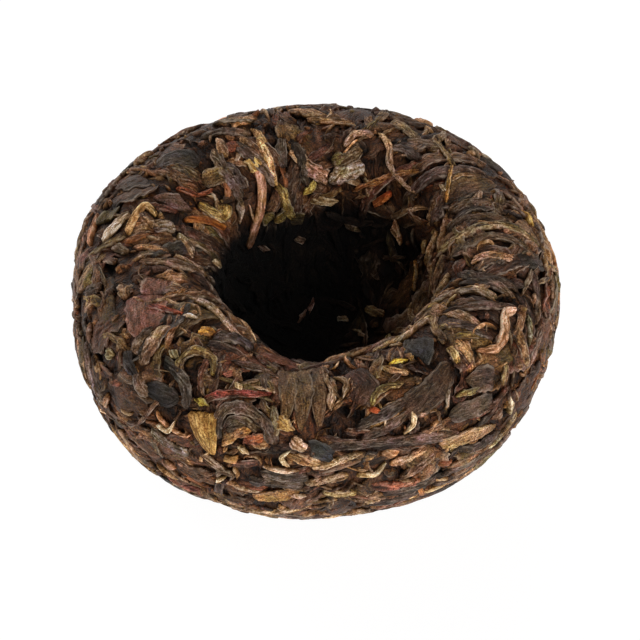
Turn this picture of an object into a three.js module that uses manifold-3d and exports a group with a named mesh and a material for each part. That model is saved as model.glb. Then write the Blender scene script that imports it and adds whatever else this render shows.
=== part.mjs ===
// Raw pu erh tea: one pressed nest of twisted tea leaves, lying on its dome with the hollow up.
// Millimetres, +Z up. The origin is the middle of the flat foot that the dome stands on.
import * as THREE from 'three';
import { mergeVertices } from 'three/addons/utils/BufferGeometryUtils.js';
import Module from 'manifold-3d';

const wasm = await Module();
wasm.setup();

// Driving dimensions of the pressed nest
const DIAMETER = 82;
const HEIGHT = 42.5;
const EQUATOR_HEIGHT = 28.5;
const CREST_RADIUS = 28;
const NECK_RADIUS = 18;
const NECK_HEIGHT = 29;
const FLOOR_HEIGHT = 13;
const FOOT_TRIM = 0.55;
// The knot of the cloth bag was tied a little off the middle, towards +X
const HOLLOW_SHIFT = 2;

// What the cloth bag left: a wavy outline, pleats towards its knot, an oval hollow and soft lumps
const OUTLINE_RISE = 0.45;
const PLEAT_RISE = 0.5;
const PLEAT_COUNT = 9;
const OVAL_RISE = 0.6;
const NARROW_WAY = 162;
const LUMP_RISE = 0.32;
// The lip sags at the front and towards its right, and is lifted once: direction, half width, rise
const LIP_BENDS = [
  { azimuth: 262, spread: 22, rise: -4.2 },
  { azimuth: 320, spread: 50, rise: -1.7 },
  { azimuth: 222, spread: 12, rise: 1.4 },
];

// The leaves stand this far over the core, and are rooted this deep in it
const LEAF_RELIEF = 0.75;
const LEAF_ROOT = 1.1;
// A leaf at least this wide is a broad one and gets more sides
const BROAD_WIDTH = 4.2;
const BROAD_MESH = { sides: 6, steps: 6 };
const NARROW_MESH = { sides: 4, steps: 4 };
const LEAF_COUNT = 90;
const SEED = 1907;

const degrees = (angle) => (angle * 180) / Math.PI;
const radians = (angle) => (angle * Math.PI) / 180;
const mix = (from, to, share) => from + (to - from) * share;
const bell = (offset, spread) => Math.exp(-((offset / spread) ** 2));

function seededRandom(seed) {
  let state = seed;
  return () => {
    state = (state + 0x6d2b79f5) | 0;
    let value = Math.imul(state ^ (state >>> 15), 1 | state);
    value = (value + Math.imul(value ^ (value >>> 7), 61 | value)) ^ value;
    return ((value ^ (value >>> 14)) >>> 0) / 4294967296;
  };
}

// The section of the nest, from the middle of the hollow's floor to the middle of the foot,
// as four superellipse arcs: the bowl, the lip up to the crest, the shoulder and the dome.
function superellipseArc(middle, reach, power, fromAngle, toAngle) {
  const points = [];
  const count = 60;
  for (let i = 0; i <= count; i += 1) {
    const angle = radians(mix(fromAngle, toAngle, i / count));
    const across = Math.sign(Math.cos(angle)) * Math.abs(Math.cos(angle)) ** (2 / power);
    const up = Math.sign(Math.sin(angle)) * Math.abs(Math.sin(angle)) ** (2 / power);
    points.push(new THREE.Vector2(middle.x + reach.x * across, middle.y + reach.y * up));
  }
  return points;
}

function makeSection() {
  const at = (x, y) => new THREE.Vector2(x, y);
  const bowl = superellipseArc(at(0, NECK_HEIGHT), at(NECK_RADIUS, NECK_HEIGHT - FLOOR_HEIGHT), 2.2, -90, 0);
  const lip = superellipseArc(
    at(CREST_RADIUS, NECK_HEIGHT), at(CREST_RADIUS - NECK_RADIUS, HEIGHT - NECK_HEIGHT), 2, 180, 90);
  const shoulder = superellipseArc(
    at(CREST_RADIUS, EQUATOR_HEIGHT), at(DIAMETER / 2 - CREST_RADIUS, HEIGHT - EQUATOR_HEIGHT), 2.3, 90, 0);
  const dome = superellipseArc(
    at(0, EQUATOR_HEIGHT), at(DIAMETER / 2, EQUATOR_HEIGHT + FOOT_TRIM), 2.3, 0, -90);
  const points = [...bowl, ...lip.slice(1), ...shoulder.slice(1), ...dome.slice(1)];
  const last = points.length - 1;
  points[0].x = 0;
  points[last].x = 0;
  const lengths = [0];
  for (let i = 1; i <= last; i += 1) {
    lengths.push(lengths[i - 1] + points[i].distanceTo(points[i - 1]));
  }
  const crestLength = lengths[bowl.length + lip.length - 2];
  const normals = points.map((point, i) => {
    const along = points[Math.min(i + 1, last)].clone().sub(points[Math.max(i - 1, 0)]).normalize();
    return new THREE.Vector2(-along.y, along.x);
  });
  normals[0].set(0, 1);
  normals[last].set(0, -1);
  return { points, normals, outs: lengths.map((length) => length - crestLength), last };
}

const section = makeSection();
const FLOOR_OUT = section.outs[0];
const FOOT_OUT = section.outs[section.last];

// A place on the section, `out` mm from the crest: plus runs down the outside, minus into the hollow
function sectionAt(out) {
  const { points, normals, outs, last } = section;
  let i = 1;
  while (i < last && outs[i] < out) {
    i += 1;
  }
  const share = THREE.MathUtils.clamp((out - outs[i - 1]) / (outs[i] - outs[i - 1]), 0, 1);
  return {
    point: points[i - 1].clone().lerp(points[i], share),
    normal: normals[i - 1].clone().lerp(normals[i], share).normalize(),
  };
}

// The way out of the section's nearest place to a point beside it
function nearestOut(radius, height) {
  const { points, outs, last } = section;
  const target = new THREE.Vector2(radius, height);
  let nearest = 0;
  for (let i = 1; i <= last; i += 1) {
    if (points[i].distanceToSquared(target) < points[nearest].distanceToSquared(target)) {
      nearest = i;
    }
  }
  const before = Math.max(nearest - 1, 0);
  const after = Math.min(nearest + 1, last);
  const along = points[after].clone().sub(points[before]);
  const share = target.sub(points[before]).dot(along) / along.lengthSq();
  return mix(outs[before], outs[after], THREE.MathUtils.clamp(share, 0, 1));
}

// 0 outside and 1 inside the hollow
const hollowShare = (out) => THREE.MathUtils.smoothstep(-out, 0, 14);

// How far the nest stands off its even shape, in mm, fading out at the floor and at the foot
function unevenness(azimuth, out) {
  const { smoothstep, euclideanModulo } = THREE.MathUtils;
  const turn = radians(azimuth);
  const fromFloor = out - FLOOR_OUT;
  const fromFoot = FOOT_OUT - out;
  const waviness = 0.6 - 0.4 * Math.cos(turn + radians(20));
  const outline = OUTLINE_RISE * waviness * Math.cos(4 * (turn - radians(50)));
  const pleats = PLEAT_RISE * Math.cos(PLEAT_COUNT * turn + 0.6 * Math.sin(2 * turn));
  const oval = OVAL_RISE * Math.cos(2 * (turn - radians(NARROW_WAY)));
  const lumps = LUMP_RISE * Math.sin(5 * turn + 0.21 * out) * Math.cos(0.19 * out - 2 * turn);
  const bends = LIP_BENDS.reduce((sum, { azimuth: middle, spread, rise }) => (
    sum + rise * bell(euclideanModulo(azimuth - middle + 180, 360) - 180, spread)), 0);
  return outline * smoothstep(out, -4, 12) * smoothstep(fromFoot, 14, 40)
    + (pleats + bends) * bell(out + 4, 9) * smoothstep(fromFloor, 0, 4)
    + oval * hollowShare(out) * smoothstep(fromFloor, 0, 20)
    + lumps * smoothstep(fromFloor, 0, 16) * smoothstep(fromFoot, 12, 30);
}

// From a direction round the nest in degrees and a way out in mm to a point on the smooth nest
function onNest(azimuth, out) {
  const { point, normal } = sectionAt(out);
  const turn = radians(azimuth);
  const outward = new THREE.Vector3(Math.cos(turn), Math.sin(turn), 0);
  const place = outward.clone().multiplyScalar(point.x).setZ(point.y);
  place.x += HOLLOW_SHIFT * hollowShare(out);
  return { place, normal: outward.multiplyScalar(normal.x).setZ(normal.y), azimuth, out };
}

// The smooth nest's nearest place to any point close to it
function nearestOnNest(point) {
  const around = point.clone();
  let out = nearestOut(Math.hypot(point.x, point.y), point.z);
  for (let round = 0; round < 2; round += 1) {
    around.x = point.x - HOLLOW_SHIFT * hollowShare(out);
    out = nearestOut(Math.hypot(around.x, around.y), around.z);
  }
  return onNest(degrees(Math.atan2(around.y, around.x)), out);
}

function raised({ place, normal, azimuth, out }, height) {
  return place.clone().addScaledVector(normal, unevenness(azimuth, out) + height);
}

// The core lies under the leaves, and comes out to their level at the foot
function coreGeometry() {
  const segments = 36;
  const rings = 20;
  const outs = [];
  for (let j = 0; j <= rings; j += 1) {
    outs.push(mix(FLOOR_OUT, FOOT_OUT, j / rings));
  }
  const geometry = new THREE.LatheGeometry(outs.map((out) => sectionAt(out).point), segments);
  const positions = geometry.attributes.position;
  for (let k = 0; k < positions.count; k += 1) {
    const turn = Math.floor(k / (rings + 1)) % segments;
    const azimuth = -360 * (turn / segments);
    const out = outs[k % (rings + 1)];
    const sunk = LEAF_RELIEF * THREE.MathUtils.smoothstep(FOOT_OUT - out, 8, 16);
    const point = raised(onNest(azimuth, out), -sunk);
    positions.setXYZ(k, point.x, point.y, point.z);
  }
  return geometry;
}

// A leaf is a flattened ball, bent so that each of its points follows the nest
function leafGeometry(middleLine, width, relief, sides) {
  const steps = middleLine.length - 1;
  const geometry = new THREE.SphereGeometry(1, sides, steps);
  const positions = geometry.attributes.position;
  for (let k = 0; k < positions.count; k += 1) {
    const ball = new THREE.Vector3().fromBufferAttribute(positions, k);
    const polar = Math.acos(THREE.MathUtils.clamp(ball.y, -1, 1));
    const step = Math.round((polar / Math.PI) * steps);
    const atTip = step === 0 || step === steps;
    const fullness = atTip ? 0 : Math.sin(polar) ** 0.6;
    const round = Math.atan2(ball.z, ball.x);
    const { place, normal } = middleLine[step];
    const before = middleLine[Math.max(step - 1, 0)].place;
    const after = middleLine[Math.min(step + 1, steps)].place;
    const across = new THREE.Vector3().crossVectors(normal, after.clone().sub(before)).normalize();
    const reach = Math.cos(round) * fullness * (width / 2);
    const up = Math.sin(round) * fullness;
    const height = up > 0 ? up * (LEAF_RELIEF + relief) : up * LEAF_ROOT;
    const point = raised(nearestOnNest(place.clone().addScaledVector(across, reach)), height - LEAF_RELIEF);
    positions.setXYZ(k, point.x, point.y, point.z);
  }
  return geometry;
}

const meshFor = (width) => (width > BROAD_WIDTH ? BROAD_MESH : NARROW_MESH);

// A middle line that starts at a place, heads off at an angle from the level and bends as it goes
function driftingLine(azimuth, out, heading, length, bend, steps) {
  const halfLine = (direction) => {
    const places = [];
    let here = onNest(azimuth, out);
    const level = new THREE.Vector3(-Math.sin(radians(here.azimuth)), Math.cos(radians(here.azimuth)), 0);
    const way = level.applyAxisAngle(here.normal, radians(heading)).multiplyScalar(direction);
    const stride = length / steps;
    for (let i = 0; i < steps / 2; i += 1) {
      here = nearestOnNest(here.place.clone().addScaledVector(way, stride));
      way.addScaledVector(here.normal, -way.dot(here.normal)).normalize();
      way.applyAxisAngle(here.normal, radians(direction * bend) / steps);
      places.push(here);
    }
    return places;
  };
  return [...halfLine(-1).reverse(), onNest(azimuth, out), ...halfLine(1)];
}

// A middle line through places given as [direction round the nest, way out]
function guidedLine(stops, steps) {
  const curve = new THREE.CatmullRomCurve3(stops.map(([azimuth, out]) => onNest(azimuth, out).place));
  return curve.getSpacedPoints(steps).map(nearestOnNest);
}

// The leaves that stand out in the photo, each by its stops and its width in mm
const SHOWN_LEAVES = [
  { stops: [[0, -10], [5, -4], [5, 2], [0, 10]], width: 4 },
  { stops: [[22, -5], [26, 1], [29, 7]], width: 6.5 },
  { stops: [[322, -5], [331, -1], [333, 5]], width: 3 },
  { stops: [[347, -2], [350, 6]], width: 3 },
  { stops: [[320, 0], [335, 9]], width: 3 },
  { stops: [[329, 7], [325, 11], [316, 9]], width: 2.6 },
  { stops: [[298, 0], [307, -0.5], [315, 0]], width: 3 },
  { stops: [[314, 1], [308, 10]], width: 2.6 },
  { stops: [[305, 5], [296, 9], [283, 14]], width: 7 },
  { stops: [[270, 2.5], [270, 9], [268, 15]], width: 9 },
  { stops: [[300, 20.5], [313, 20], [323, 23]], width: 4.5 },
  { stops: [[273, 16.5], [286, 16.5], [300, 19]], width: 3 },
  { stops: [[239, 14], [246, 22]], width: 5.5 },
  { stops: [[249, 18.5], [258, 14.5]], width: 3.6 },
  { stops: [[247, 15], [249, 10], [256, 8.5], [260, 15]], width: 2.8 },
  { stops: [[263, 17], [270, 20]], width: 3.6 },
  { stops: [[229, 19], [239, 23.5]], width: 3 },
  { stops: [[241, 12.5], [254, 8]], width: 2.6 },
  { stops: [[203, 1], [219, 8]], width: 8 },
  { stops: [[218, 11], [227, 3]], width: 3.6 },
  { stops: [[209, -5], [226, -4]], width: 3 },
  { stops: [[181, 8], [170, 3]], width: 2.8 },
  { stops: [[147, -6], [141, -12.5]], width: 4.5 },
  { stops: [[162, -6], [145, -13]], width: 2.6 },
  { stops: [[117, -7], [131, -20]], width: 2.4 },
  { stops: [[110, 1], [110, -10]], width: 2.8 },
  { stops: [[93, -6], [87, -12]], width: 3 },
  { stops: [[67, -4], [86, -12]], width: 3.6 },
  { stops: [[64, -1], [57, -5.5], [43, -9]], width: 2.4 },
  { stops: [[74, -12], [47, -5]], width: 2.2 },
  { stops: [[306, 15], [314, 15]], width: 6 },
  { stops: [[233, 27], [242, 34]], width: 3.4 },
];

function shownLeaves() {
  return SHOWN_LEAVES.map(({ stops, width }) => {
    const { sides, steps } = meshFor(width);
    return leafGeometry(guidedLine(stops, steps + (stops.length > 2 ? 2 : 0)), width, 0.2, sides);
  });
}

// The other leaves are spread evenly over the nest, largest first, down to where the foot flattens.
// Their places follow a two-way even sequence: its steps are powers of one over the plastic number.
function scatteredLeaves() {
  const random = seededRandom(SEED);
  const evenStep = 1 / 1.32471796;
  const rows = [];
  let covered = 0;
  for (let out = FLOOR_OUT + 3; out < FOOT_OUT - 11; out += 0.5) {
    covered += sectionAt(out).point.x;
    rows.push({ out, covered });
  }
  const leaves = [];
  for (let i = 0; i < LEAF_COUNT; i += 1) {
    const size = 1 - i / LEAF_COUNT;
    const share = (i * evenStep) % 1;
    const { out } = rows.find((row) => row.covered >= share * covered);
    const azimuth = 360 * ((i * evenStep ** 2) % 1);
    // Leaves in the hollow point up its wall, and those outside lie round the nest
    const slope = hollowShare(out) > 0.5 ? mix(35, 145, random()) : mix(-34, 34, random());
    const isBroad = i % 6 === 0;
    const width = mix(2.8, 3.8, size) + (isBroad ? 2.6 : 0);
    const length = mix(10, 21, size) * mix(0.85, 1.15, random()) * (isBroad ? 0.7 : 1);
    const bend = mix(-50, 50, random());
    const { sides, steps } = meshFor(width);
    const line = driftingLine(azimuth, out, slope, length, bend, steps);
    leaves.push(leafGeometry(line, width, mix(-0.25, 0.3, random()), sides));
  }
  return leaves;
}

function solidOf(geometry) {
  geometry.deleteAttribute('normal');
  geometry.deleteAttribute('uv');
  const merged = mergeVertices(geometry, 1e-3);
  const corners = merged.index.array;
  const kept = [];
  for (let i = 0; i < corners.length; i += 3) {
    const triangle = corners.slice(i, i + 3);
    if (new Set(triangle).size === 3) {
      kept.push(...triangle);
    }
  }
  return new wasm.Manifold(new wasm.Mesh({
    numProp: 3,
    vertProperties: new Float32Array(merged.attributes.position.array),
    triVerts: new Uint32Array(kept),
  }));
}

function geometryOf(solid) {
  const mesh = solid.getMesh();
  const geometry = new THREE.BufferGeometry();
  geometry.setAttribute('position', new THREE.BufferAttribute(mesh.vertProperties, 3));
  geometry.setIndex(new THREE.BufferAttribute(mesh.triVerts, 1));
  geometry.computeVertexNormals();
  return geometry;
}

// Everything is pressed into one solid, then trimmed to the flat foot that it stands on.
// Only the outer shell is kept, so hollows that the leaves shut in are filled.
function pressedTea() {
  const floorBlock = new THREE.BoxGeometry(DIAMETER * 2, DIAMETER * 2, HEIGHT);
  floorBlock.translate(0, 0, -HEIGHT / 2);
  let solid = solidOf(coreGeometry());
  [...shownLeaves(), ...scatteredLeaves()].forEach((leaf) => {
    solid = solid.add(solidOf(leaf));
  });
  const shells = solid.subtract(solidOf(floorBlock)).decompose();
  return shells.reduce((largest, shell) => (shell.volume() > largest.volume() ? shell : largest));
}

const darkLeaf = new THREE.MeshStandardMaterial({ color: '#51402f', roughness: 0.72, metalness: 0 });
const tea = new THREE.Mesh(geometryOf(pressedTea()), darkLeaf);
tea.name = 'pressed_tea';

const group = new THREE.Group();
group.add(tea);

export default group;
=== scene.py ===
# %% [markdown]
# # A pressed nest of raw pu erh tea
# The real thing is 100 g of withered, rolled and sun-dried tea leaves. They are steamed soft in a
# cloth bag, pressed into a nest over a stick, and dried. Nothing glues them: hundreds of leaf
# strips, buds, stems and torn pieces hold each other. This lesson builds them one by one over a
# dark core, because the eye reads such a block by its edges and crevices, not by its colour.

# %% Load the frame
import math

import bmesh
import bpy
import numpy as np
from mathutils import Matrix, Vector, noise
from mathutils.kdtree import KDTree


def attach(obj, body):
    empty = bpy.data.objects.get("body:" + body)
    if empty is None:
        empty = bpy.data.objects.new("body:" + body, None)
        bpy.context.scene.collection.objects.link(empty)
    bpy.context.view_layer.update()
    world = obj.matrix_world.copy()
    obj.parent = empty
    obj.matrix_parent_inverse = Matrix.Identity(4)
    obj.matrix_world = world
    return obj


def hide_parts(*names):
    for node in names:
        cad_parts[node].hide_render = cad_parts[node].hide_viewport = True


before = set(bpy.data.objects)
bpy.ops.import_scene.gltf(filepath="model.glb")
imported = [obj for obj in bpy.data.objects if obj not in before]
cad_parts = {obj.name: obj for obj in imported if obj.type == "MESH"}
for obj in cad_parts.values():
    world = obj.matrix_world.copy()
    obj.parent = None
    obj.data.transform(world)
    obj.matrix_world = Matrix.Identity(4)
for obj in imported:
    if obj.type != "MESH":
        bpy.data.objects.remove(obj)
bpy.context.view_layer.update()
MM = 0.001
draw = np.random.default_rng(1907)

# %% [markdown]
# ## The shape under the leaves
# The nest is almost a turned form, so one section describes it, as four superellipse arcs: the
# bowl, the lip up to the crest, the shoulder and the dome. A place on it is a direction round the
# nest in degrees, and a way `out` from the crest in mm, plus down the outside and minus into the
# hollow. Every leaf is laid out in those two numbers. A sculpted form could look the same, but a
# formula tells every leaf where the surface is and which way it faces. All lengths are mm until a
# mesh is made.

# %% The section of the nest
DIAMETER = 82
HEIGHT = 42.5
EQUATOR_HEIGHT = 28.5
CREST_RADIUS = 28
NECK_RADIUS = 18
NECK_HEIGHT = 29
FLOOR_HEIGHT = 13
FOOT_TRIM = 0.55
HOLLOW_SHIFT = 2


def superellipse_arc(middle, reach, power, start, stop, count=60):
    angle = np.radians(np.linspace(start, stop, count + 1))
    across, up = np.cos(angle), np.sin(angle)
    return np.column_stack([
        middle[0] + reach[0] * np.sign(across) * np.abs(across) ** (2 / power),
        middle[1] + reach[1] * np.sign(up) * np.abs(up) ** (2 / power),
    ])


BOWL = superellipse_arc((0, NECK_HEIGHT), (NECK_RADIUS, NECK_HEIGHT - FLOOR_HEIGHT), 2.2, -90, 0)
LIP = superellipse_arc(
    (CREST_RADIUS, NECK_HEIGHT), (CREST_RADIUS - NECK_RADIUS, HEIGHT - NECK_HEIGHT), 2.0, 180, 90)
SHOULDER = superellipse_arc(
    (CREST_RADIUS, EQUATOR_HEIGHT), (DIAMETER / 2 - CREST_RADIUS, HEIGHT - EQUATOR_HEIGHT), 2.3, 90, 0)
DOME = superellipse_arc((0, EQUATOR_HEIGHT), (DIAMETER / 2, EQUATOR_HEIGHT + FOOT_TRIM), 2.3, 0, -90)

section = np.concatenate([BOWL, LIP[1:], SHOULDER[1:], DOME[1:]])
section[[0, -1], 0] = 0
section_out = np.concatenate([[0], np.cumsum(np.linalg.norm(np.diff(section, axis=0), axis=1))])
section_out -= section_out[len(BOWL) + len(LIP) - 2]
slope = np.gradient(section, axis=0)
slope /= np.linalg.norm(slope, axis=1)[:, None]
section_normal = np.column_stack([-slope[:, 1], slope[:, 0]])
section_normal[0] = (0, 1)
section_normal[-1] = (0, -1)
FLOOR_OUT, FOOT_OUT = section_out[0], section_out[-1]
print(f"from crest to hollow floor {-FLOOR_OUT:.1f} mm, from crest to foot {FOOT_OUT:.1f} mm")

# %% [markdown]
# ## What the cloth bag left
# A cloth bag is never even: the outline waves, the lip has soft pleats towards the bag's knot and
# sags at the front, the hollow is a little oval and off the middle, and the whole has gentle lumps.
# A displacement by noise could do that too, but these are the same rules as in the part's source, so
# the leaves lie where its solid is.

# %% The nest's unevenness
OUTLINE_RISE = 0.45
PLEAT_RISE = 0.5
PLEAT_COUNT = 9
OVAL_RISE = 0.6
NARROW_WAY = 162
LUMP_RISE = 0.32
# The lip's bends: direction round the nest, half width in degrees, rise in mm
LIP_BENDS = [(262, 22, -4.2), (320, 50, -1.7), (222, 12, 1.4)]


def smoothstep(value, low, high):
    share = np.clip((value - low) / (high - low), 0, 1)
    return share * share * (3 - 2 * share)


def bell(offset, spread):
    return np.exp(-((offset / spread) ** 2))


def turn_bell(azimuth, middle, spread):
    """A bell over directions round the nest, in degrees."""
    return bell((azimuth - middle + 180) % 360 - 180, spread)


def hollow_share(out):
    """0 outside and 1 inside the hollow."""
    return smoothstep(-out, 0, 14)


def unevenness(azimuth, out):
    turn = np.radians(azimuth)
    from_floor, from_foot = out - FLOOR_OUT, FOOT_OUT - out
    waviness = 0.6 - 0.4 * np.cos(turn + math.radians(20))
    outline = OUTLINE_RISE * waviness * np.cos(4 * (turn - math.radians(50)))
    pleats = PLEAT_RISE * np.cos(PLEAT_COUNT * turn + 0.6 * np.sin(2 * turn))
    oval = OVAL_RISE * np.cos(2 * (turn - math.radians(NARROW_WAY)))
    lumps = LUMP_RISE * np.sin(5 * turn + 0.21 * out) * np.cos(0.19 * out - 2 * turn)
    bends = sum(rise * turn_bell(azimuth, middle, spread) for middle, spread, rise in LIP_BENDS)
    return (
        outline * smoothstep(out, -4, 12) * smoothstep(from_foot, 14, 40)
        + (pleats + bends) * bell(out + 4, 9) * smoothstep(from_floor, 0, 4)
        + oval * hollow_share(out) * smoothstep(from_floor, 0, 20)
        + lumps * smoothstep(from_floor, 0, 16) * smoothstep(from_foot, 12, 30)
    )


print(f"the crest stands {unevenness(262, 0):+.1f} mm off its even height at the front")

# %% [markdown]
# ## Places on the nest
# A leaf has to follow the nest wherever it goes. A Shrinkwrap modifier would pull one leaf onto the
# surface, but there are thousands, so these functions turn whole arrays of directions and ways out
# into points, and points back into directions and ways out.

# %% To the nest and back
def on_nest(azimuth, out):
    """The place and the normal on the smooth nest, for arrays of directions and ways out."""
    turn = np.radians(azimuth)
    radius = np.interp(out, section_out, section[:, 0])
    level = np.interp(out, section_out, section[:, 1])
    flat = np.interp(out, section_out, section_normal[:, 0])
    up = np.interp(out, section_out, section_normal[:, 1])
    scale = 1 / np.hypot(flat, up)
    place = np.stack(
        [radius * np.cos(turn) + HOLLOW_SHIFT * hollow_share(out), radius * np.sin(turn), level], -1)
    normal = np.stack([flat * scale * np.cos(turn), flat * scale * np.sin(turn), up * scale], -1)
    return place, normal


section_tree = KDTree(len(section))
for index, (radius, level) in enumerate(section):
    section_tree.insert((radius, level, 0), index)
section_tree.balance()


def nearest_out(radius, level):
    """The way out of the section's nearest place to each point beside it."""
    near = np.array([section_tree.find((r, z, 0))[1] for r, z in zip(radius, level)])
    before, after = np.maximum(near - 1, 0), np.minimum(near + 1, len(section) - 1)
    along = section[after] - section[before]
    beside = np.column_stack([radius, level]) - section[before]
    share = np.clip((beside * along).sum(1) / (along ** 2).sum(1), 0, 1)
    return section_out[before] + share * (section_out[after] - section_out[before])


def nearest(points):
    """The direction and the way out of the smooth nest's nearest place to each point."""
    flat = points.reshape(-1, 3)
    out = nearest_out(np.hypot(flat[:, 0], flat[:, 1]), flat[:, 2])
    for _ in range(2):
        x = flat[:, 0] - HOLLOW_SHIFT * hollow_share(out)
        out = nearest_out(np.hypot(x, flat[:, 1]), flat[:, 2])
    azimuth = np.degrees(np.arctan2(flat[:, 1], x))
    return azimuth.reshape(points.shape[:-1]), out.reshape(points.shape[:-1])


def lift(azimuth, out, height):
    """Points this high over the uneven nest."""
    place, normal = on_nest(azimuth, out)
    return place + normal * (unevenness(azimuth, out) + height)[..., None]


print(f"the crest lies {lift(262, 0, 0)[2]:.1f} mm high at the front")

# %% [markdown]
# ## The leaf blanks
# A pressed leaf is a closed, flattened ball that follows the nest. A bent sheet with thickness would
# do, but a ball has rounded sides and closed tips from the start. So the blank is a UV sphere: the
# poles become the two tips, and the angle round its axis becomes the way across. Most of that angle
# is spent on the upper face, which shows, and little on the face that lies on the core. One blank is
# then copied into an array hundreds of times, with every copy bent, folded and coloured.

# %% Make the blanks
# How much closer the rows lie at the sides, where the leaf turns down
SIDE_CROWDING = 0.35


def leaf_blank(upper, lower, steps):
    """A ball with `upper` + 1 places across its upper face and `lower` - 1 under it."""
    around = upper + lower
    ball = bmesh.new()
    bmesh.ops.create_uvsphere(ball, u_segments=around, v_segments=steps, radius=1)
    co = np.array([v.co for v in ball.verts])
    step = np.rint(steps * (1 - np.arccos(np.clip(co[:, 2], -1, 1)) / math.pi)).astype(int)
    turn = np.rint(np.arctan2(co[:, 1], co[:, 0]) / (2 * math.pi) * around).astype(int) % around
    over = turn <= upper
    across = np.where(over, 1 - 2 * turn / upper, -1 + 2 * (turn - upper) / lower)
    across = across * (1 + SIDE_CROWDING - SIDE_CROWDING * across ** 2)
    tip = (step == 0) | (step == steps)
    across[tip] = 0
    corners = [[v.index for v in face.verts] for face in ball.faces]
    ball.free()
    return {
        "steps": steps,
        "step": step,
        "along": step / steps,
        "across": across,
        "over": over | tip,
        "corners": np.array([c for face in corners for c in face]),
        "sizes": np.array([len(face) for face in corners]),
    }


STRIP = leaf_blank(upper=12, lower=3, steps=22)
BROAD = leaf_blank(upper=16, lower=3, steps=18)
SMALL = leaf_blank(upper=7, lower=2, steps=12)
THREAD = leaf_blank(upper=4, lower=2, steps=9)
CRUMB = leaf_blank(upper=4, lower=2, steps=5)
for blank in (STRIP, BROAD, SMALL, THREAD, CRUMB):
    print(f"a blank of {blank['steps']} steps has {len(blank['step'])} vertices")

# %% [markdown]
# ## The way a leaf lies
# Steamed leaves are limp, so each follows the nest and bends as it goes. A leaf could be drawn by
# hand as a curve; the ones that stand out are given by a few stops. For all others a middle line is
# walked over the surface from its middle both ways: a stride, back onto the nest, a small turn.

# %% Walk the middle lines
def walk(azimuth, out, heading, stride, turns):
    """Places after each stride; `turns` has one column of degrees a stride."""
    place, normal = on_nest(azimuth, out)
    turn = np.radians(azimuth)
    level = np.stack([-np.sin(turn), np.cos(turn), np.zeros_like(turn)], -1)
    rise = np.cross(normal, level)
    angle = np.radians(heading)[:, None]
    way = level * np.cos(angle) + rise * np.sin(angle)
    places = []
    for step_turn in turns.T:
        place, normal = on_nest(*nearest(place + way * stride[:, None]))
        way = way - normal * (way * normal).sum(1)[:, None]
        way /= np.linalg.norm(way, axis=1)[:, None]
        angle = np.radians(step_turn)[:, None]
        way = way * np.cos(angle) + np.cross(normal, way) * np.sin(angle)
        places.append(place)
    return places


def drifting_lines(azimuth, out, heading, length, bend, steps, sway=0.0):
    """Middle lines of leaves, as an array of leaf, step and x, y, z."""
    half = steps // 2
    count = len(azimuth)
    turns = np.repeat((bend / steps)[:, None], half, axis=1)
    swing = draw.normal(0, 1, (count, 1)) * sway / steps
    turns = turns + swing * np.cos(np.linspace(0, math.pi, half))[None, :]
    stride = length / steps
    forth = walk(azimuth, out, heading, stride, turns)
    back = walk(azimuth, out, heading + 180, stride, -turns)
    middle = on_nest(azimuth, out)[0]
    line = np.stack([*back[::-1], middle, *forth], axis=1)
    return line if steps % 2 == 0 else np.concatenate([line, 2 * line[:, -1:] - line[:, -2:-1]], axis=1)


def guided_line(stops, steps):
    """A middle line through stops given as (direction round the nest, way out)."""
    azimuth, out = np.array(stops, float).T
    knots = on_nest(azimuth, out)[0]
    reach = np.concatenate([[0], np.cumsum(np.linalg.norm(np.diff(knots, axis=0), axis=1))])
    where = np.linspace(0, reach[-1], steps + 1)
    if len(stops) > 2:
        pull = np.gradient(knots, reach, axis=0)
        after = np.clip(np.searchsorted(reach, where, side="right"), 1, len(reach) - 1)
        before = after - 1
        gap = (reach[after] - reach[before])[:, None]
        t = (where - reach[before])[:, None] / gap
        line = (
            (2 * t ** 3 - 3 * t ** 2 + 1) * knots[before] + (t ** 3 - 2 * t ** 2 + t) * gap * pull[before]
            + (3 * t ** 2 - 2 * t ** 3) * knots[after] + (t ** 3 - t ** 2) * gap * pull[after]
        )
    else:
        line = np.stack([np.interp(where, reach, knots[:, i]) for i in range(3)], -1)
    return on_nest(*nearest(line))[0]


print(f"a guided line of 4 steps passes {len(guided_line([(262, 0), (262, 9)], 4))} places")

# %% [markdown]
# ## Colours
# Withered leaf is dark brown where it was bruised, olive where it stayed greener, slate where it
# lies thick and silvery tan on the buds. The shader could pick colours by chance, but then they
# would run across the leaves: here every leaf has two near colours of its own that run into each
# other. Leaves in the hollow also get painted shade, darker the deeper they lie, except on the right
# wall, where the light falls in.

# %% Colours of the leaves
def shade(code):
    """An sRGB hex value as linear red, green and blue."""
    parts = [int(code[i:i + 2], 16) / 255 for i in (1, 3, 5)]
    return tuple(v / 12.92 if v <= 0.04045 else ((v + 0.055) / 1.055) ** 2.4 for v in parts)


def mixed_colours(palette, count, spread=0.22):
    """Two linear colours a leaf, from weighted hex values, with a little change in lightness."""
    codes = list(palette)
    weights = np.array([palette[c] for c in codes], float)
    picks = draw.choice(len(codes), (count, 2), p=weights / weights.sum())
    colours = np.array([shade(c) for c in codes])[picks]
    colours[:, 1] = 0.5 * colours[:, 0] + 0.5 * colours[:, 1]
    return colours * np.exp(draw.normal(0, spread, (count, 2, 1)))


DARK = {
    "#4c3423": 3, "#614631": 4, "#75573b": 4, "#876947": 3, "#664b3c": 3, "#4d3b32": 3,
    "#6a5a34": 3, "#784a39": 1.5, "#31241c": 3, "#987b5a": 1.5, "#ab9274": 1, "#58422d": 3,
}


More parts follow.
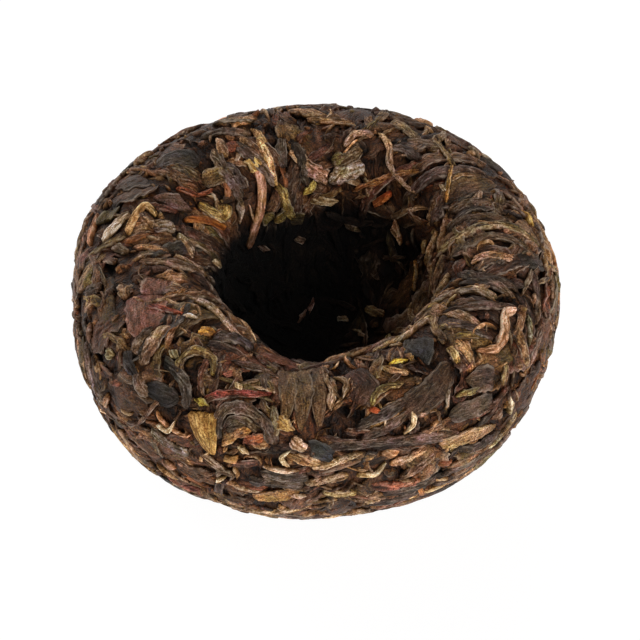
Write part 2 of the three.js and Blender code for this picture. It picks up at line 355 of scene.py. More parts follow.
def painted_hollow_shade(azimuth, out):
    """The share of a leaf's lightness that the painted shade of the hollow leaves where it lies."""
    # The painted shade starts this far down the wall, further at the back and at the right, where the light
    # falls in
    start = 8.5 + 5 * turn_bell(azimuth, 105, 45) + 3 * turn_bell(azimuth, 0, 40)
    # The least lightness left deep down: much less painted shade on the right wall
    least = 0.01 + 0.9 * turn_bell(azimuth, 352, 45)
    return 1 - (1 - least) * smoothstep(-out, start, start + 6)


print(f"{len(DARK)} dark leaf colours")

# %% [markdown]
# ## Torn, wrinkled and crumpled
# A leaf that dried in the bag is flat, with torn sides, sharp lengthwise wrinkles that wind round it
# where it was rolled, and shallow dents. One leaf could be sculpted so. For thousands, sums of waves
# do it, with a chance of their own for every leaf. Each function takes and gives arrays with one
# row a leaf.

# %% The marks of drying
def torn_sides(blank, run, ragged):
    """How wide each place stays where the sides are torn and wavy, each side on its own."""
    count = len(run)
    across, step = blank["across"], blank["step"]
    tears = draw.normal(0, 1, (count, blank["steps"] + 1, 2))
    wobble = 0.5 * tears[:, step, (across < 0).astype(int)]
    for wave, (shortest, longest) in enumerate(((1.4, 2.4), (3, 5), (7, 13))):
        beat = 2 * math.pi / draw.uniform(shortest, longest, (count, 1))
        left, right = draw.uniform(0, 2 * math.pi, (2, count, 1))
        wobble = wobble + np.sin(beat * run + np.where(across < 0, left, right)) * (0.7 + 0.3 * wave)
    return np.maximum(1 + ragged * wobble, 0.2)


def wrinkles_along(ridges, twist, across, along, taper, phase):
    """Sharp crests and round furrows that wind along the leaf, from about -1 to 0.8."""
    rounds = math.pi / 2 * ridges * across + math.pi * twist * along
    ridge = 2 * np.abs(np.sin(rounds + phase[3] + 0.5 * np.sin(7 * along + phase[1]))) - 1.2
    ridge = 0.7 * ridge + 0.3 * np.cos(4.3 * rounds + phase[0] + 5 * along)
    return ridge * (1 - 0.6 * across ** 2) * np.sqrt(taper)


def dents(reach, run, phase):
    """Shallow dents, from four waves that cross the leaf at odd angles."""
    count = len(run)
    dent = 0
    for wave, pace in enumerate((1.2, 2.2, 3.4, 5.0)):
        paces = pace * draw.uniform(0.7, 1.3, (2, count, 1)) * np.sign(draw.normal(0, 1, (2, count, 1)))
        dent = dent + np.sin(paces[0] * reach + 0.6 * paces[1] * run + phase[4 + wave]) / (1 + 0.4 * wave)
    return dent


def ways_of(lines):
    """The way along and the way across at each step of the middle lines."""
    ahead = np.diff(lines, axis=1, append=2 * lines[:, -1:] - lines[:, -2:-1])
    behind = np.diff(lines, axis=1, prepend=2 * lines[:, :1] - lines[:, 1:2])
    way = ahead + behind
    way /= np.linalg.norm(way, axis=2)[..., None]
    sideways = np.cross(on_nest(*nearest(lines))[1], way)
    sideways /= np.linalg.norm(sideways, axis=2)[..., None]
    return way, sideways


crests = wrinkles_along(3, 0, np.linspace(-1, 1, 99), 0.5, 1, np.zeros(9))
print(f"a leaf of 3 wrinkles has crests of {crests.max():.1f} and furrows of {crests.min():.1f}")

# %% [markdown]
# ## Pressing a batch of leaves
# Now each blank is bent along its middle line. Its ends dip under its neighbours, and one side often
# stands over the next leaf like a shingle. The cloth flattened whatever stood out, so heights are
# capped softly. A cloth simulation of so many leaves would take hours, and this takes a second. Each
# vertex also keeps what the finish needs: its colour, its height over the nest, its place across
# the leaf and a fibre map in mm.

# %% Press leaves into arrays
# Every size that shapes a leaf, and what it is where a kind of leaf doesn't give it
DEFAULTS = {
    "crown": 0.35,
    "squareness": 5.0,
    "ridges": 3.0,
    "ridge_height": 0.1,
    "crumple": 0.05,
    "twist": 0.0,
    "edge_lift": 0.0,
    "tilt": 0.0,
    "dip_back": 0.4,
    "dip_forth": 0.4,
    "blunt_back": 3.0,
    "blunt_forth": 3.0,
    "point": 0.5,
    "cup": 0.0,
    "ragged": 0.1,
    "skew": 0.0,
    "midrib": 0.0,
    "veins": 0.0,
    "proud": 0.0,
}
VEIN_GAP = 2.2
# How far the leaves under a shown one are pressed down, in mm
ROOM_DEPTH = 0.6
# How deep a leaf's lower face lies in the core, and how softly the cloth flattens the upper, in mm
LEAF_ROOT = 1.3
CAP_SOFTNESS = 0.18


def press(blank, lines, width, level, colours, room=None, painted_shade_power=1.0, **form):
    """Bend a batch of blanks along their middle lines. Every size has one value a leaf, in mm."""
    count = len(lines)
    sizes = {k: np.broadcast_to(form.get(k, v), count)[:, None] for k, v in DEFAULTS.items()}
    step, along, across = blank["step"], blank["along"][None], blank["across"][None]
    u = 2 * along - 1
    blunt = np.where(u < 0, sizes["blunt_back"], sizes["blunt_forth"])
    taper = np.clip(1 - np.abs(u) ** blunt, 0, 1) ** sizes["point"]
    phase = draw.uniform(0, 2 * math.pi, (9, count, 1))
    run = along * np.linalg.norm(np.diff(lines, axis=1), axis=2).sum(1)[:, None]

    reach = across * width[:, None] / 2 * taper * torn_sides(blank, run, sizes["ragged"])
    slide = sizes["skew"] * across * np.abs(u) ** 3
    way, sideways = ways_of(lines)
    flat = lines[:, step] + sideways[:, step] * reach[..., None] + way[:, step] * slide[..., None]
    azimuth, out = nearest(flat)

    bulge = np.clip(1 - np.abs(across) ** sizes["squareness"], 0, 1) ** 0.6
    ridge = wrinkles_along(sizes["ridges"], sizes["twist"], across, along, taper, phase)
    dent = dents(reach, run, phase)
    herringbone = np.sin(2 * math.pi * (run - 0.9 * np.abs(reach)) / VEIN_GAP + phase[8])
    dip = sizes["dip_back"] * np.clip(-u, 0, 1) ** 2 + sizes["dip_forth"] * np.clip(u, 0, 1) ** 2
    top = (
        level[:, None] - sizes["crown"] * (1 - bulge * np.sqrt(taper))
        + sizes["ridge_height"] * ridge + sizes["crumple"] * dent
        + sizes["midrib"] * bell(across, 0.09) * taper + sizes["veins"] * herringbone
        + (sizes["edge_lift"] * across + sizes["cup"] * np.abs(across) ** 3) * taper + sizes["tilt"] * u - dip
    )
    if room is not None:
        top = top - ROOM_DEPTH * room(on_nest(azimuth, out)[0])
    cap = 0.12 + 0.4 * bell(out, 14) + 0.25 * hollow_share(out) + sizes["proud"]
    top = cap - CAP_SOFTNESS * np.log1p(np.exp(np.clip((cap - top) / CAP_SOFTNESS, -30, 30)))
    under = np.minimum(level[:, None], 0) - LEAF_ROOT - dip
    height = np.where(blank["over"][None], top, under)
    points = lift(azimuth, out, height)
    points[..., 2] = np.maximum(points[..., 2], 0)

    second = smoothstep(np.sin(phase[5] + 3 * along + 1.4 * across + 0.4 * dent), -0.7, 0.7)[..., None]
    colour = colours[:, :1] * (1 - second) + colours[:, 1:] * second
    # Painted shade: leaves deep in the hollow are darkened, to this power
    colour = colour * painted_hollow_shade(azimuth, out)[..., None] ** painted_shade_power
    # Every leaf reads another part of the fibre map
    shift = draw.uniform(0, 400, (2, count, 1))
    whole = (count, len(step))
    return {
        "points": points.reshape(-1, 3),
        "corners": (blank["corners"][None] + len(step) * np.arange(count)[:, None]).ravel(),
        "sizes": np.tile(blank["sizes"], count),
        "colour": colour.reshape(-1, 3),
        # Height over the nest; the finish darkens what lies deep, as painted shade
        "rise": np.broadcast_to(height, whole).ravel(),
        "across": np.broadcast_to(across, whole).ravel(),
        "ridge": np.broadcast_to(ridge, whole).ravel(),
        "fibre": np.stack([across * width[:, None] / 2 + shift[0], run + shift[1]], -1).reshape(-1, 2),
    }


print(f"{len(DEFAULTS)} sizes shape a leaf")

# %% [markdown]
# ## From arrays to pieces
# One mesh a kind of leaf keeps the scene small and lets each kind have its own finish. Blender could
# join hundreds of objects, but filling a mesh straight from the arrays is far quicker. Each piece
# takes the place of the part's one solid and rides on it.

# %% Turn arrays into pieces
# What each vertex tells the finish, besides its colour and fibre map
MARKS = ("rise", "across", "ridge")


def join(batches):
    """One batch of arrays from several."""
    joined = {}
    shift = 0
    for batch in batches:
        for key, value in batch.items():
            joined.setdefault(key, []).append(value + shift if key == "corners" else value)
        shift += len(batch["points"])
    return {key: np.concatenate(values) for key, values in joined.items()}


def piece_from(name, batch, material):
    """A Blender object from a batch, in metres, with its fibre map, attributes, finish and slot."""
    mesh = bpy.data.meshes.new(name)
    sizes = batch["sizes"]
    mesh.vertices.add(len(batch["points"]))
    mesh.loops.add(len(batch["corners"]))
    mesh.polygons.add(len(sizes))
    mesh.vertices.foreach_set("co", (batch["points"] * MM).astype(np.float32).ravel())
    mesh.loops.foreach_set("vertex_index", batch["corners"].astype(np.int32))
    mesh.polygons.foreach_set("loop_start", (np.cumsum(sizes) - sizes).astype(np.int32))
    mesh.polygons.foreach_set("use_smooth", np.ones(len(sizes), bool))
    mesh.update(calc_edges=True)
    fibres = mesh.uv_layers.new(name="fibres")
    fibres.data.foreach_set("uv", batch["fibre"][batch["corners"]].astype(np.float32).ravel())
    tint = mesh.color_attributes.new("leaf_colour", "FLOAT_COLOR", "POINT")
    tint.data.foreach_set("color", np.column_stack(
        [batch["colour"], np.ones(len(batch["colour"]))]).astype(np.float32).ravel())
    for key in MARKS:
        mesh.attributes.new(key, "FLOAT", "POINT").data.foreach_set("value", batch[key].astype(np.float32))
    mesh.materials.append(material)
    piece = bpy.data.objects.new(name, mesh)
    bpy.context.scene.collection.objects.link(piece)
    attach(piece, "root")
    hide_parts("pressed_tea")
    print(f"{name}: {(sizes - 2).sum()} triangles")
    return piece


print("each vertex keeps", ", ".join(MARKS))

# %% [markdown]
# ## The finish of dried leaf
# Every kind here is tea leaf, withered and dried in the sun: a matt, dull skin with a faint wax
# gloss. A photo of leaf skin could be laid on, but it would repeat and blur, so one recipe makes
# every kind: the leaf's own colour, streaked along the fibre map, mottled and blotched in space, paler
# on ridges and edges, partly as rubbed skin and partly as painted highlight, and darker in the folds
# and deep down as painted shade.

# %% The node helper
def add(tree, kind, links=(), output=None, **settings):
    """Add a node with its settings and with what its sockets hold or are linked to; give an output."""
    made = tree.nodes.new(kind)
    for name, value in settings.items():
        setattr(made, name, value)
    for socket, value in dict(links).items():
        if isinstance(value, bpy.types.NodeSocket):
            tree.links.new(value, made.inputs[socket])
        else:
            made.inputs[socket].default_value = value
    if output:
        return made.outputs[output]
    return next((socket for socket in made.outputs if socket.enabled), None)


def new_material(name):
    material = bpy.data.materials.new(name)
    material.use_nodes = True
    material.node_tree.nodes.clear()
    return material, material.node_tree


def shown_together(tree, *marks):
    """The product of several marks, each with its range and with what it gives at either end."""
    product = 1.0
    for mark, low, high, at_low, at_high in marks:
        share = add(tree, "ShaderNodeMapRange", {0: mark, 1: low, 2: high, 3: at_low, 4: at_high})
        product = add(tree, "ShaderNodeMath", {0: product, 1: share}, operation="MULTIPLY")
    return product


print(f"{add.__name__} makes any node, {shown_together.__name__} multiplies marks")

# %% [markdown]
# ## The leaf recipe
# Wrinkles and cracks are ridged noise, stretched along the fibres, because dried leaf creases
# lengthwise. Plain noise would look like cloth. Hairs are fine noise along the fibres, and grain and
# bruises are noise in space. Wrinkles and cracks are also painted: paler crests as painted highlight,
# darker furrows and cracks as painted shade. What is dark is also redder, and what is pale is greyer,
# so the tint follows that painted shade and highlight too.

# %% The leaf recipe
# Sizes of one wrinkle, crack and hair in mm, across and along. A real hair is a tenth as wide, too
# fine to show, so it is drawn about one pixel wide
WRINKLE = (0.7, 2.2)
CRACK = (1.6, 4.2)
HAIR = (0.2, 1.5)
# Sizes of one speck of grain and of one bruise in mm
GRAIN = 0.28
BRUISE = 2.4
# A wrinkle stands about 0.2 mm proud of the leaf, half of the bump's full height in mm
BUMP_HEIGHT = 0.42
# Half as glossy as plastic, as there is only a thin film of leaf wax
WAX_GLOSS = 0.26


def dried_leaf(name, wrinkled=1.0, mottled=1.0, tinted=1.0, hairy=0.75, hair_and_highlight_colour="#cdbba8", roughness=0.5):
    """One kind of leaf skin. The numbers say how strongly each mark shows."""
    material, tree = new_material(name)
    colour = add(tree, "ShaderNodeAttribute", attribute_name="leaf_colour")
    rise, across, ridge = [
        add(tree, "ShaderNodeAttribute", output="Fac", attribute_name=mark) for mark in MARKS]
    fibre_map = add(tree, "ShaderNodeUVMap", uv_map="fibres")
    space = add(tree, "ShaderNodeTexCoord", output="Object")

    # Sharp crests of about 1.5 between hollows of about 0.4
    wrinkles, cracks = [
        add(tree, "ShaderNodeTexNoise", {
            "Vector": add(tree, "ShaderNodeMapping", {"Vector": fibre_map, "Scale": (1 / wide, 1 / long, 1)}),
            "Scale": 1.0, "Detail": 2.0, "Roughness": 0.5, "Offset": 1.0, "Gain": 1.0, "Distortion": 0.6},
            noise_type="RIDGED_MULTIFRACTAL")
        for wide, long in (WRINKLE, CRACK)]
    # Soft clouds from about 0.3 to 0.7
    hairs, grain, bruises = [
        add(tree, "ShaderNodeTexNoise", {
            "Vector": add(tree, "ShaderNodeMapping", {"Vector": place, "Scale": scale}),
            "Scale": 1.0, "Detail": detail, "Roughness": 0.6})
        for place, scale, detail in (
            (fibre_map, (1 / HAIR[0], 1 / HAIR[1], 1), 2.0),
            (space, [1 / (GRAIN * MM)] * 3, 2.0),
            (space, [1 / (BRUISE * MM)] * 3, 3.0))]

    # Red and blue waver apart from green, so one leaf shows brown, olive and red
    tint = add(tree, "ShaderNodeMapRange", {
        "Vector": bruises.node.outputs["Color"], 7: (0.32,) * 3, 8: (0.68,) * 3,
        9: (1 - 0.1 * tinted, 1 - 0.04 * tinted, 1 - 0.4 * tinted),
        10: (1 + 0.27 * tinted, 1 + 0.02 * tinted, 1 + 0.04 * tinted)},
        data_type="FLOAT_VECTOR", clamp=False)
    body = add(tree, "ShaderNodeVectorMath", {0: colour, 1: tint}, operation="MULTIPLY")
    # Mottle and blotches are the leaf's own colour; the other marks are painted shade and highlight
    gain = shown_together(
        tree,
        # Paler crests as painted highlight, darker furrows as painted shade
        (wrinkles, 0.35, 1.5, 1 - 0.7 * wrinkled, 1 + 1.25 * wrinkled),
        # Darker in the cracks, as painted shade
        (cracks, 1.25, 1.5, 1.0, 1 - 0.6 * wrinkled),
        (grain, 0.3, 0.7, 1 - 0.72 * mottled, 1 + 0.72 * mottled),
        (bruises, 0.35, 0.65, 0.72, 1.32),
        # Darker the deeper it lies under the nest's surface, as painted shade
        (rise, -1.0, -0.12, 0.1, 1.0),
        # Darker in the furrows of the leaf's own wrinkles as painted shade, a little paler on their crests as
        # painted highlight
        (ridge, -0.8, 0.5, 0.55, 1.15))
    # Redder where darker and greyer where paler, so it tints the painted shade and highlight as well as the
    # mottle
    warmth = add(tree, "ShaderNodeMapRange", {
        "Vector": gain, 7: (0.3,) * 3, 8: (1.8,) * 3,
        9: (1.34, 0.92, 0.5), 10: (0.97, 1.04, 1.34)}, data_type="FLOAT_VECTOR")
    body = add(tree, "ShaderNodeVectorMath", {0: body, 1: warmth}, operation="MULTIPLY")
    body = add(tree, "ShaderNodeVectorMath", {0: body, "Scale": gain}, operation="SCALE")

    # Pale hairs show one by one, most of all on crests and along the edges, where the pale is partly
    # rubbed skin and partly painted highlight, and only on leaves that stand high, as painted light. The
    # hollow's leaves under painted shade, told by how light their own colour is, have no pale hairs and
    # no gloss
    own_light = add(tree, "ShaderNodeSeparateColor", {"Color": colour}, output="Blue", mode="HSV")
    off_middle = add(tree, "ShaderNodeMath", {0: across}, operation="ABSOLUTE")
    # Pale along the edges: rubbed skin and painted highlight
    edge = shown_together(tree, (off_middle, 0.66, 0.88, 0.0, 0.85), (wrinkles, 0.7, 1.2, 0.15, 1.0))
    fleck = shown_together(tree, (hairs, 0.52, 0.66, 0.0, 1.0), (wrinkles, 0.8, 1.45, 0.12, 0.75))
    wear_and_highlight = add(tree, "ShaderNodeMath", {0: edge, 1: fleck}, operation="MAXIMUM")
    # Only on high leaves, as painted light, and not under the hollow's painted shade
    furry = shown_together(tree, (rise, -0.7, 0.1, 0.0, hairy), (own_light, 0.01, 0.06, 0.0, 1.0))
    hair_and_highlight_share = add(tree, "ShaderNodeMath", {0: wear_and_highlight, 1: furry}, operation="MULTIPLY")
    skin_colour = add(tree, "ShaderNodeMix", {
        "Factor": hair_and_highlight_share, 6: body, 7: (*shade(hair_and_highlight_colour), 1)}, data_type="RGBA")

    # Wrinkles and grain stand up, and cracks cut in
    relief = add(tree, "ShaderNodeMath", {0: wrinkles, 1: 0.4 * wrinkled}, operation="MULTIPLY")
    relief = add(tree, "ShaderNodeMath", {0: grain, 1: 0.7, 2: relief}, operation="MULTIPLY_ADD")
    cut = add(tree, "ShaderNodeMapRange", {0: cracks, 1: 1.2, 2: 1.5, 3: 0.0, 4: 0.5})
    relief = add(tree, "ShaderNodeMath", {0: relief, 1: cut}, operation="SUBTRACT")
    skin = add(tree, "ShaderNodeBump", {"Height": relief, "Strength": 1.0, "Distance": BUMP_HEIGHT * MM})
    dull = add(tree, "ShaderNodeMapRange", {
        0: grain, 1: 0.35, 2: 0.65, 3: roughness - 0.1, 4: roughness + 0.15})
    duller = add(tree, "ShaderNodeMapRange", {0: own_light, 1: 0.002, 2: 0.02, 3: 0.5, 4: 0.0})
    dullness = add(tree, "ShaderNodeMath", {0: dull, 1: duller}, operation="ADD")
    leaf = add(tree, "ShaderNodeBsdfPrincipled", {
        "Base Color": skin_colour, "Roughness": dullness, "Normal": skin, "Specular IOR Level": WAX_GLOSS})
    add(tree, "ShaderNodeOutputMaterial", {"Surface": leaf})
    print(f"{name}: {len(tree.nodes)} nodes")
    return material


# %% [markdown]
# ## The core
# Between the leaves the eye falls on more leaf, deep down and in shade. The core is that: the
# section spun round, sunk 1 mm under the leaves, with pits where the strips bridge over nothing, and
# coloured brown-black as painted shade. Leaves packed all the way down would need thousands more
# that nobody sees, so noise makes the core's rough skin.

# %% Spin the core
# How far the core lies under the leaves, in mm
CORE_SUNK = 0.95
CORE_ROWS, CORE_STEPS = 120, 180


def spun_section():
    """The section spun round: places in mm, and the corners of each face."""
    shell = bmesh.new()
    outs = np.linspace(FLOOR_OUT, FOOT_OUT, CORE_ROWS)
    radius = np.interp(outs, section_out, section[:, 0])
    level = np.interp(outs, section_out, section[:, 1])
    rim = [shell.verts.new((r, 0, z)) for r, z in zip(radius, level)]
    edges = [shell.edges.new(pair) for pair in zip(rim, rim[1:])]
    bmesh.ops.spin(
        shell, geom=[*rim, *edges], axis=(0, 0, 1), cent=(0, 0, 0),
        angle=2 * math.pi, steps=CORE_STEPS, use_merge=True)
    bmesh.ops.remove_doubles(shell, verts=shell.verts, dist=1e-4)
    bmesh.ops.recalc_face_normals(shell, faces=shell.faces)
    places = np.array([vertex.co for vertex in shell.verts])
    corners = [[vertex.index for vertex in face.verts] for face in shell.faces]
    shell.free()
    return places, corners


def rough_core(places, corners):
    """The core's arrays: sunk, rough and pitted, but smooth at the foot, where it rests."""
    azimuth = np.degrees(np.arctan2(places[:, 1], places[:, 0]))
    out = nearest_out(np.hypot(places[:, 0], places[:, 1]), places[:, 2])
    grain = np.array([noise.fractal(place * 0.55, 0.6, 2.0, 4) for place in map(Vector, places)])
    pits = np.array([noise.noise(place * 0.35 + Vector((9, 9, 9))) for place in map(Vector, places)])
    off_foot = smoothstep(FOOT_OUT - out, 9, 16)
    height = off_foot * (0.45 * grain - CORE_SUNK - 0.7 * smoothstep(pits, 0.12, 0.4))
    points = lift(azimuth, out, height)
    points[:, 2] = np.maximum(points[:, 2], 0)
    # Painted shade of the hollow, mottled by the grain
    painted_shade_and_mottle = painted_hollow_shade(azimuth, out) * np.exp(0.5 * grain)
    return {
        "points": points,
        "corners": np.array([corner for face in corners for corner in face]),
        "sizes": np.array([len(face) for face in corners]),
        # Brown-black as painted shade between the leaves; its height darkens it more in the finish
        "colour": np.array(shade("#402b17")) * painted_shade_and_mottle[:, None],
        "rise": height * 0.6,
        "across": np.zeros(len(points)),
        "ridge": grain,
        "fibre": np.column_stack([azimuth * 0.6, out]),
    }


# Leaf of the bed, deep between the others: matt, with hardly a hair, and painted brown-black as the
# shade that fills the crevices
core_finish = dried_leaf("core_leaf_in_painted_shade", hairy=0.15)
piece_from("core", rough_core(*spun_section()), core_finish)

# %% [markdown]
# ## Leaves that stand out
# Some leaves are known by their place: the long pinkish twig in the hollow, the hooked peach curl on
# the right, the golden leaf at the front. Chance would never lay them there, so each is given by the
# stops its middle line passes, as direction round the nest and mm out from the crest, by its width
# in mm and by its two colours. The strips at the back and at the right of the lip come first.

# %% Strips at the back and on the right
SHOWN_STRIPS = [
    # The back of the lip and the hollow's far wall
    ([(110, 1.2), (111, -3.5), (114.5, -10.5)], 2.0, "#d4bc8c", "#a0804a"),
    ([(121, -1.5), (117, -5), (113, -10)], 2.6, "#54443c", "#7a685c"),
    ([(129, -0.5), (132, -6), (133, -10.5)], 2.2, "#54443c", "#8a7868"),
    ([(131, -3), (129.5, -6), (129, -9)], 2.0, "#3e3430", "#6c5c50"),
    ([(124, 0.8), (127.5, -3)], 1.7, "#a88a68", "#7d6548"),
    ([(128, 3.5), (120, 2), (113, -0.5)], 2.0, "#4a3b30", "#6a5848"),
    ([(102, -2), (105, -5), (107, -8)], 1.8, "#3a302a", "#564a40"),
    ([(98, -3), (98, -7), (99, -12)], 1.7, "#33291f", "#4f4336"),
    ([(112, -10), (111, -14), (106, -19)], 1.8, "#6b5c30", "#8d7c42"),
    ([(135, -10), (139, -13.5)], 1.4, "#6c6054", "#a89c8a"),
    ([(92, 2), (84, 1.2), (76, 1)], 1.2, "#a5825e", "#7d6046"),
    ([(70, -7), (79, -9), (88, -11.5)], 3.0, "#8c7a6c", "#b8aa9c"),
    ([(98, -7.5), (93, -9), (88, -11)], 2.6, "#b08c76", "#8a6a54"),
    ([(85, -8), (77, -6.5), (71, -4.5)], 2.4, "#6e5c44", "#8c785c"),
    ([(67, 0.5), (61, -2), (58, -6), (51, -8), (42, -8.5)], 1.2, "#9c8468", "#bca482"),
    ([(79, -4.5), (74, -1.5), (68, -0.5)], 1.4, "#a48a6e", "#7d6a56"),
    ([(77, -12.5), (64, -9.5), (54, -6.5), (45, -4)], 1.3, "#8a6038", "#a87a48"),
    ([(66, 4.8), (59, 3.5), (53, 2)], 1.8, "#5c4c34", "#7a6a4a"),
    ([(57, 1), (51, 2.4), (46, 4)], 2.0, "#6b5a44", "#8c7b62"),
    ([(60, -1.5), (54, -1.4), (48, -2)], 2.0, "#3c322b", "#594c42"),
    ([(50, 4.5), (43, 2.5), (36, 1)], 1.4, "#8c7648", "#6a5a3c"),
    ([(37, 1), (32, -1.5), (29, -3), (26, -5.5)], 1.1, "#bb9247", "#8a6a30"),
    # The right of the lip, where long strips lie in nested arcs
    ([(31, -2), (31, 0.5), (29, 3.5)], 1.2, "#b0906a", "#8c6c48"),
    ([(21, -6), (19, -2.5), (18, 0.5), (16, 4)], 2.0, "#4a3a2a", "#66523c"),
    ([(17, -5), (15, 0), (11, 3.5)], 1.8, "#3c3026", "#5e4e3e"),
    ([(16, -9), (12, -2.5), (9, 1.5), (6, 5.5)], 1.8, "#3e3024", "#5c4a38"),
    ([(13, -13), (6, -9), (4, -5), (5, 0), (5, 4.5), (3, 8), (2, 12)], 1.9, "#6c5e40", "#94825a"),
    ([(359, -10), (358, -4.5), (0, 1), (359, 5.5), (357, 9.5)], 1.7, "#4c3d2b", "#64533e"),
    ([(351, -3), (352, 1), (352, 5.5)], 1.9, "#c09a80", "#a88264"),
    ([(347, -8), (344, -2.5), (343, 3), (342, 8)], 1.9, "#2b221a", "#4c3f33"),
    ([(341, -5), (340.5, -0.5), (340, 3.5), (338, 7)], 1.6, "#3a2e24", "#6c5a48"),
    ([(324, -8.5), (329, -6.5), (333.5, -4), (336.5, 0), (335.5, 5)], 1.7, "#8c7c6a", "#b3a38a"),
    ([(322, -2), (326, 0.5), (330, 3.5), (336, 9.5)], 2.0, "#3f3128", "#5a483a"),
    ([(290, -1.5), (297, -3.4), (304, -4.8), (311, -5.5), (317, -3)], 1.6, "#ac9058", "#b8a488"),
    ([(317, -3.5), (313, 0.5), (311.5, 4)], 1.5, "#6c5238", "#947c50"),
    ([(311, 5), (309.5, 8.5)], 1.4, "#a89058", "#e0c888"),
    ([(352, 9), (344, 12), (338, 14)], 1.5, "#4a3a32", "#66543f"),
    ([(343, 15), (335, 16.5), (328, 18)], 1.6, "#5a4438", "#7c6454"),
    ([(337, 11), (332, 15)], 1.0, "#6b6a58", "#8c8a70"),
    ([(8, 9), (0, 12), (353, 14)], 1.5, "#5c4630", "#8c7048"),
]
print(f"{len(SHOWN_STRIPS)} strips at the back and on the right")

# %% [markdown]
# ## Strips at the front
# The front is what the eye meets first. Its strips run round and down the outside and leave dark
# folds between them. They join the same list, from right to left, so that all strips share a mesh.

# %% Strips at the front
SHOWN_STRIPS += [
    ([(290, 3), (293, 4.5), (296.5, 6.3)], 1.6, "#d4ba90", "#a88860"),
    ([(284, 10), (285.5, 8.5), (288.5, 7.5), (294, 7.8)], 1.6, "#6f6236", "#998751"),
    ([(270, 16.5), (277, 16.2), (285, 16.5), (293, 17.6), (300, 19), (306, 20.5)], 1.7, "#3e322a", "#6b574a"),
    ([(283, 17.6), (292, 18.2), (299, 19.5), (305, 21)], 1.5, "#3c2f27", "#5c4a3e"),
    ([(314, 28.5), (319, 27), (324, 25)], 1.3, "#d0c09a", "#a0906c"),
    ([(308, 19), (315, 18.4), (321, 17.4)], 0.8, "#7a4a38", "#5a4234"),
    ([(306, 13), (312, 14)], 1.3, "#6c6440", "#908454"),
    ([(270, 21), (275, 19.5), (281, 18.2)], 1.4, "#a08a6e", "#bca688"),
    ([(287.5, 22.6), (292, 21.6), (297, 20.4)], 1.9, "#8a6e54", "#ac9070"),
    ([(290, 26), (295, 24.5), (299, 22.6)], 1.9, "#5a4636", "#7a6450"),
    ([(268, 24.5), (273, 23.5), (278, 23)], 1.5, "#9a8468", "#7a664e"),
    ([(305, 24.5), (311, 25.5), (316, 25)], 1.7, "#3a2e26", "#54463c"),
    ([(286, 29.5), (293, 30), (300, 29.5)], 2.0, "#3a2e26", "#52443a"),
    ([(302, 29), (309, 29.5), (315, 28.5)], 2.0, "#43362a", "#5c4c3e"),
    ([(283, 33), (291, 33.5), (298, 33)], 2.1, "#352a22", "#4c3e34"),
    ([(300, 32.5), (307, 33), (313, 32.5)], 2.0, "#3e3228", "#564638"),
    # The dark folds beside the pleated leaf
    ([(274.5, 3), (275, 6.5), (274, 10)], 1.5, "#a08c6c", "#7c6850"),
    ([(293, 10.8), (286, 12), (280, 13.2)], 1.9, "#3a2f28", "#54463c"),
    ([(293, 12.6), (288, 14.2), (281, 15)], 1.7, "#443529", "#5f4c3c"),
    ([(272, 27), (280, 27.5)], 1.3, "#86754c", "#a8946a"),
    ([(291, 28.5), (295, 28)], 1.3, "#a87458", "#80543e"),
    ([(258, 22.8), (263, 23), (269, 22.7)], 2.1, "#4a4038", "#63574c"),
    ([(255, 25), (262, 24.8), (268, 25)], 1.9, "#3e342c", "#5c5044"),
    ([(264.5, 17.6), (271, 20)], 2.3, "#b3966c", "#8f7048"),
    ([(265, 15), (268.5, 16.7)], 2.0, "#ccb49a", "#a48c70"),
    ([(248, 17.5), (247.5, 13.5), (250, 11.3), (256, 11.3), (260, 14), (261.5, 16.5)], 2.1,
     "#3c3026", "#5f4d3e"),
    ([(249.5, 15), (250.5, 13.2), (254, 12.9), (257, 14.3)], 1.3, "#4a3c30", "#6b5a4a"),
    ([(260, 9.5), (261, 12), (261.5, 15)], 1.4, "#6e6248", "#8f8468"),
    ([(242, 12), (245, 10.3), (252, 8.6), (259, 7.6)], 1.5, "#8c4438", "#5c4434"),
    ([(249, 17.6), (253, 15.2), (256, 14.4)], 1.9, "#a8824c", "#7f6038"),
    ([(254, 16.3), (259, 15)], 1.7, "#9a5c38", "#7a4a30"),
    ([(235, 10), (233.4, 7), (235.5, 4.4), (240, 4.2), (243, 7)], 1.5, "#5c4a28", "#7c6a3c"),
    ([(236, 0.5), (240, -3), (245, -6.5)], 2.2, "#3a3230", "#524844"),
    ([(246, 3), (252, 1.8), (258, 1.8)], 2.2, "#4f3c30", "#6a5444"),
    ([(229, 8.5), (235, 9.3), (238, 11), (239.5, 14)], 2.0, "#2f2c28", "#48423a"),
    ([(218, 11), (221, 12.2), (223.5, 13.4)], 2.5, "#292524", "#3e3834"),
    ([(224, 12.5), (226, 14), (229, 15)], 2.0, "#54463a", "#75634f"),
    ([(231, 20.6), (236, 22.3), (241, 22.6)], 2.0, "#6b6259", "#a89e90"),
    ([(244, 21.5), (249, 24), (252, 25.5)], 2.0, "#5c4a3c", "#7d6b58"),
    ([(232, 33.4), (237, 33.8), (242, 33.2)], 1.9, "#6f3c30", "#8e5a44"),
    ([(245, 38), (256, 35.4), (268, 32.2)], 1.1, "#c4ab88", "#8a7458"),
]
print(f"{len(SHOWN_STRIPS)} strips with those at the front")

# %% [markdown]
# ## Strips on the left and in the hollow
# On the left strips cross the lip at odd angles. In the hollow they stand up its wall and fade into
# the dark.

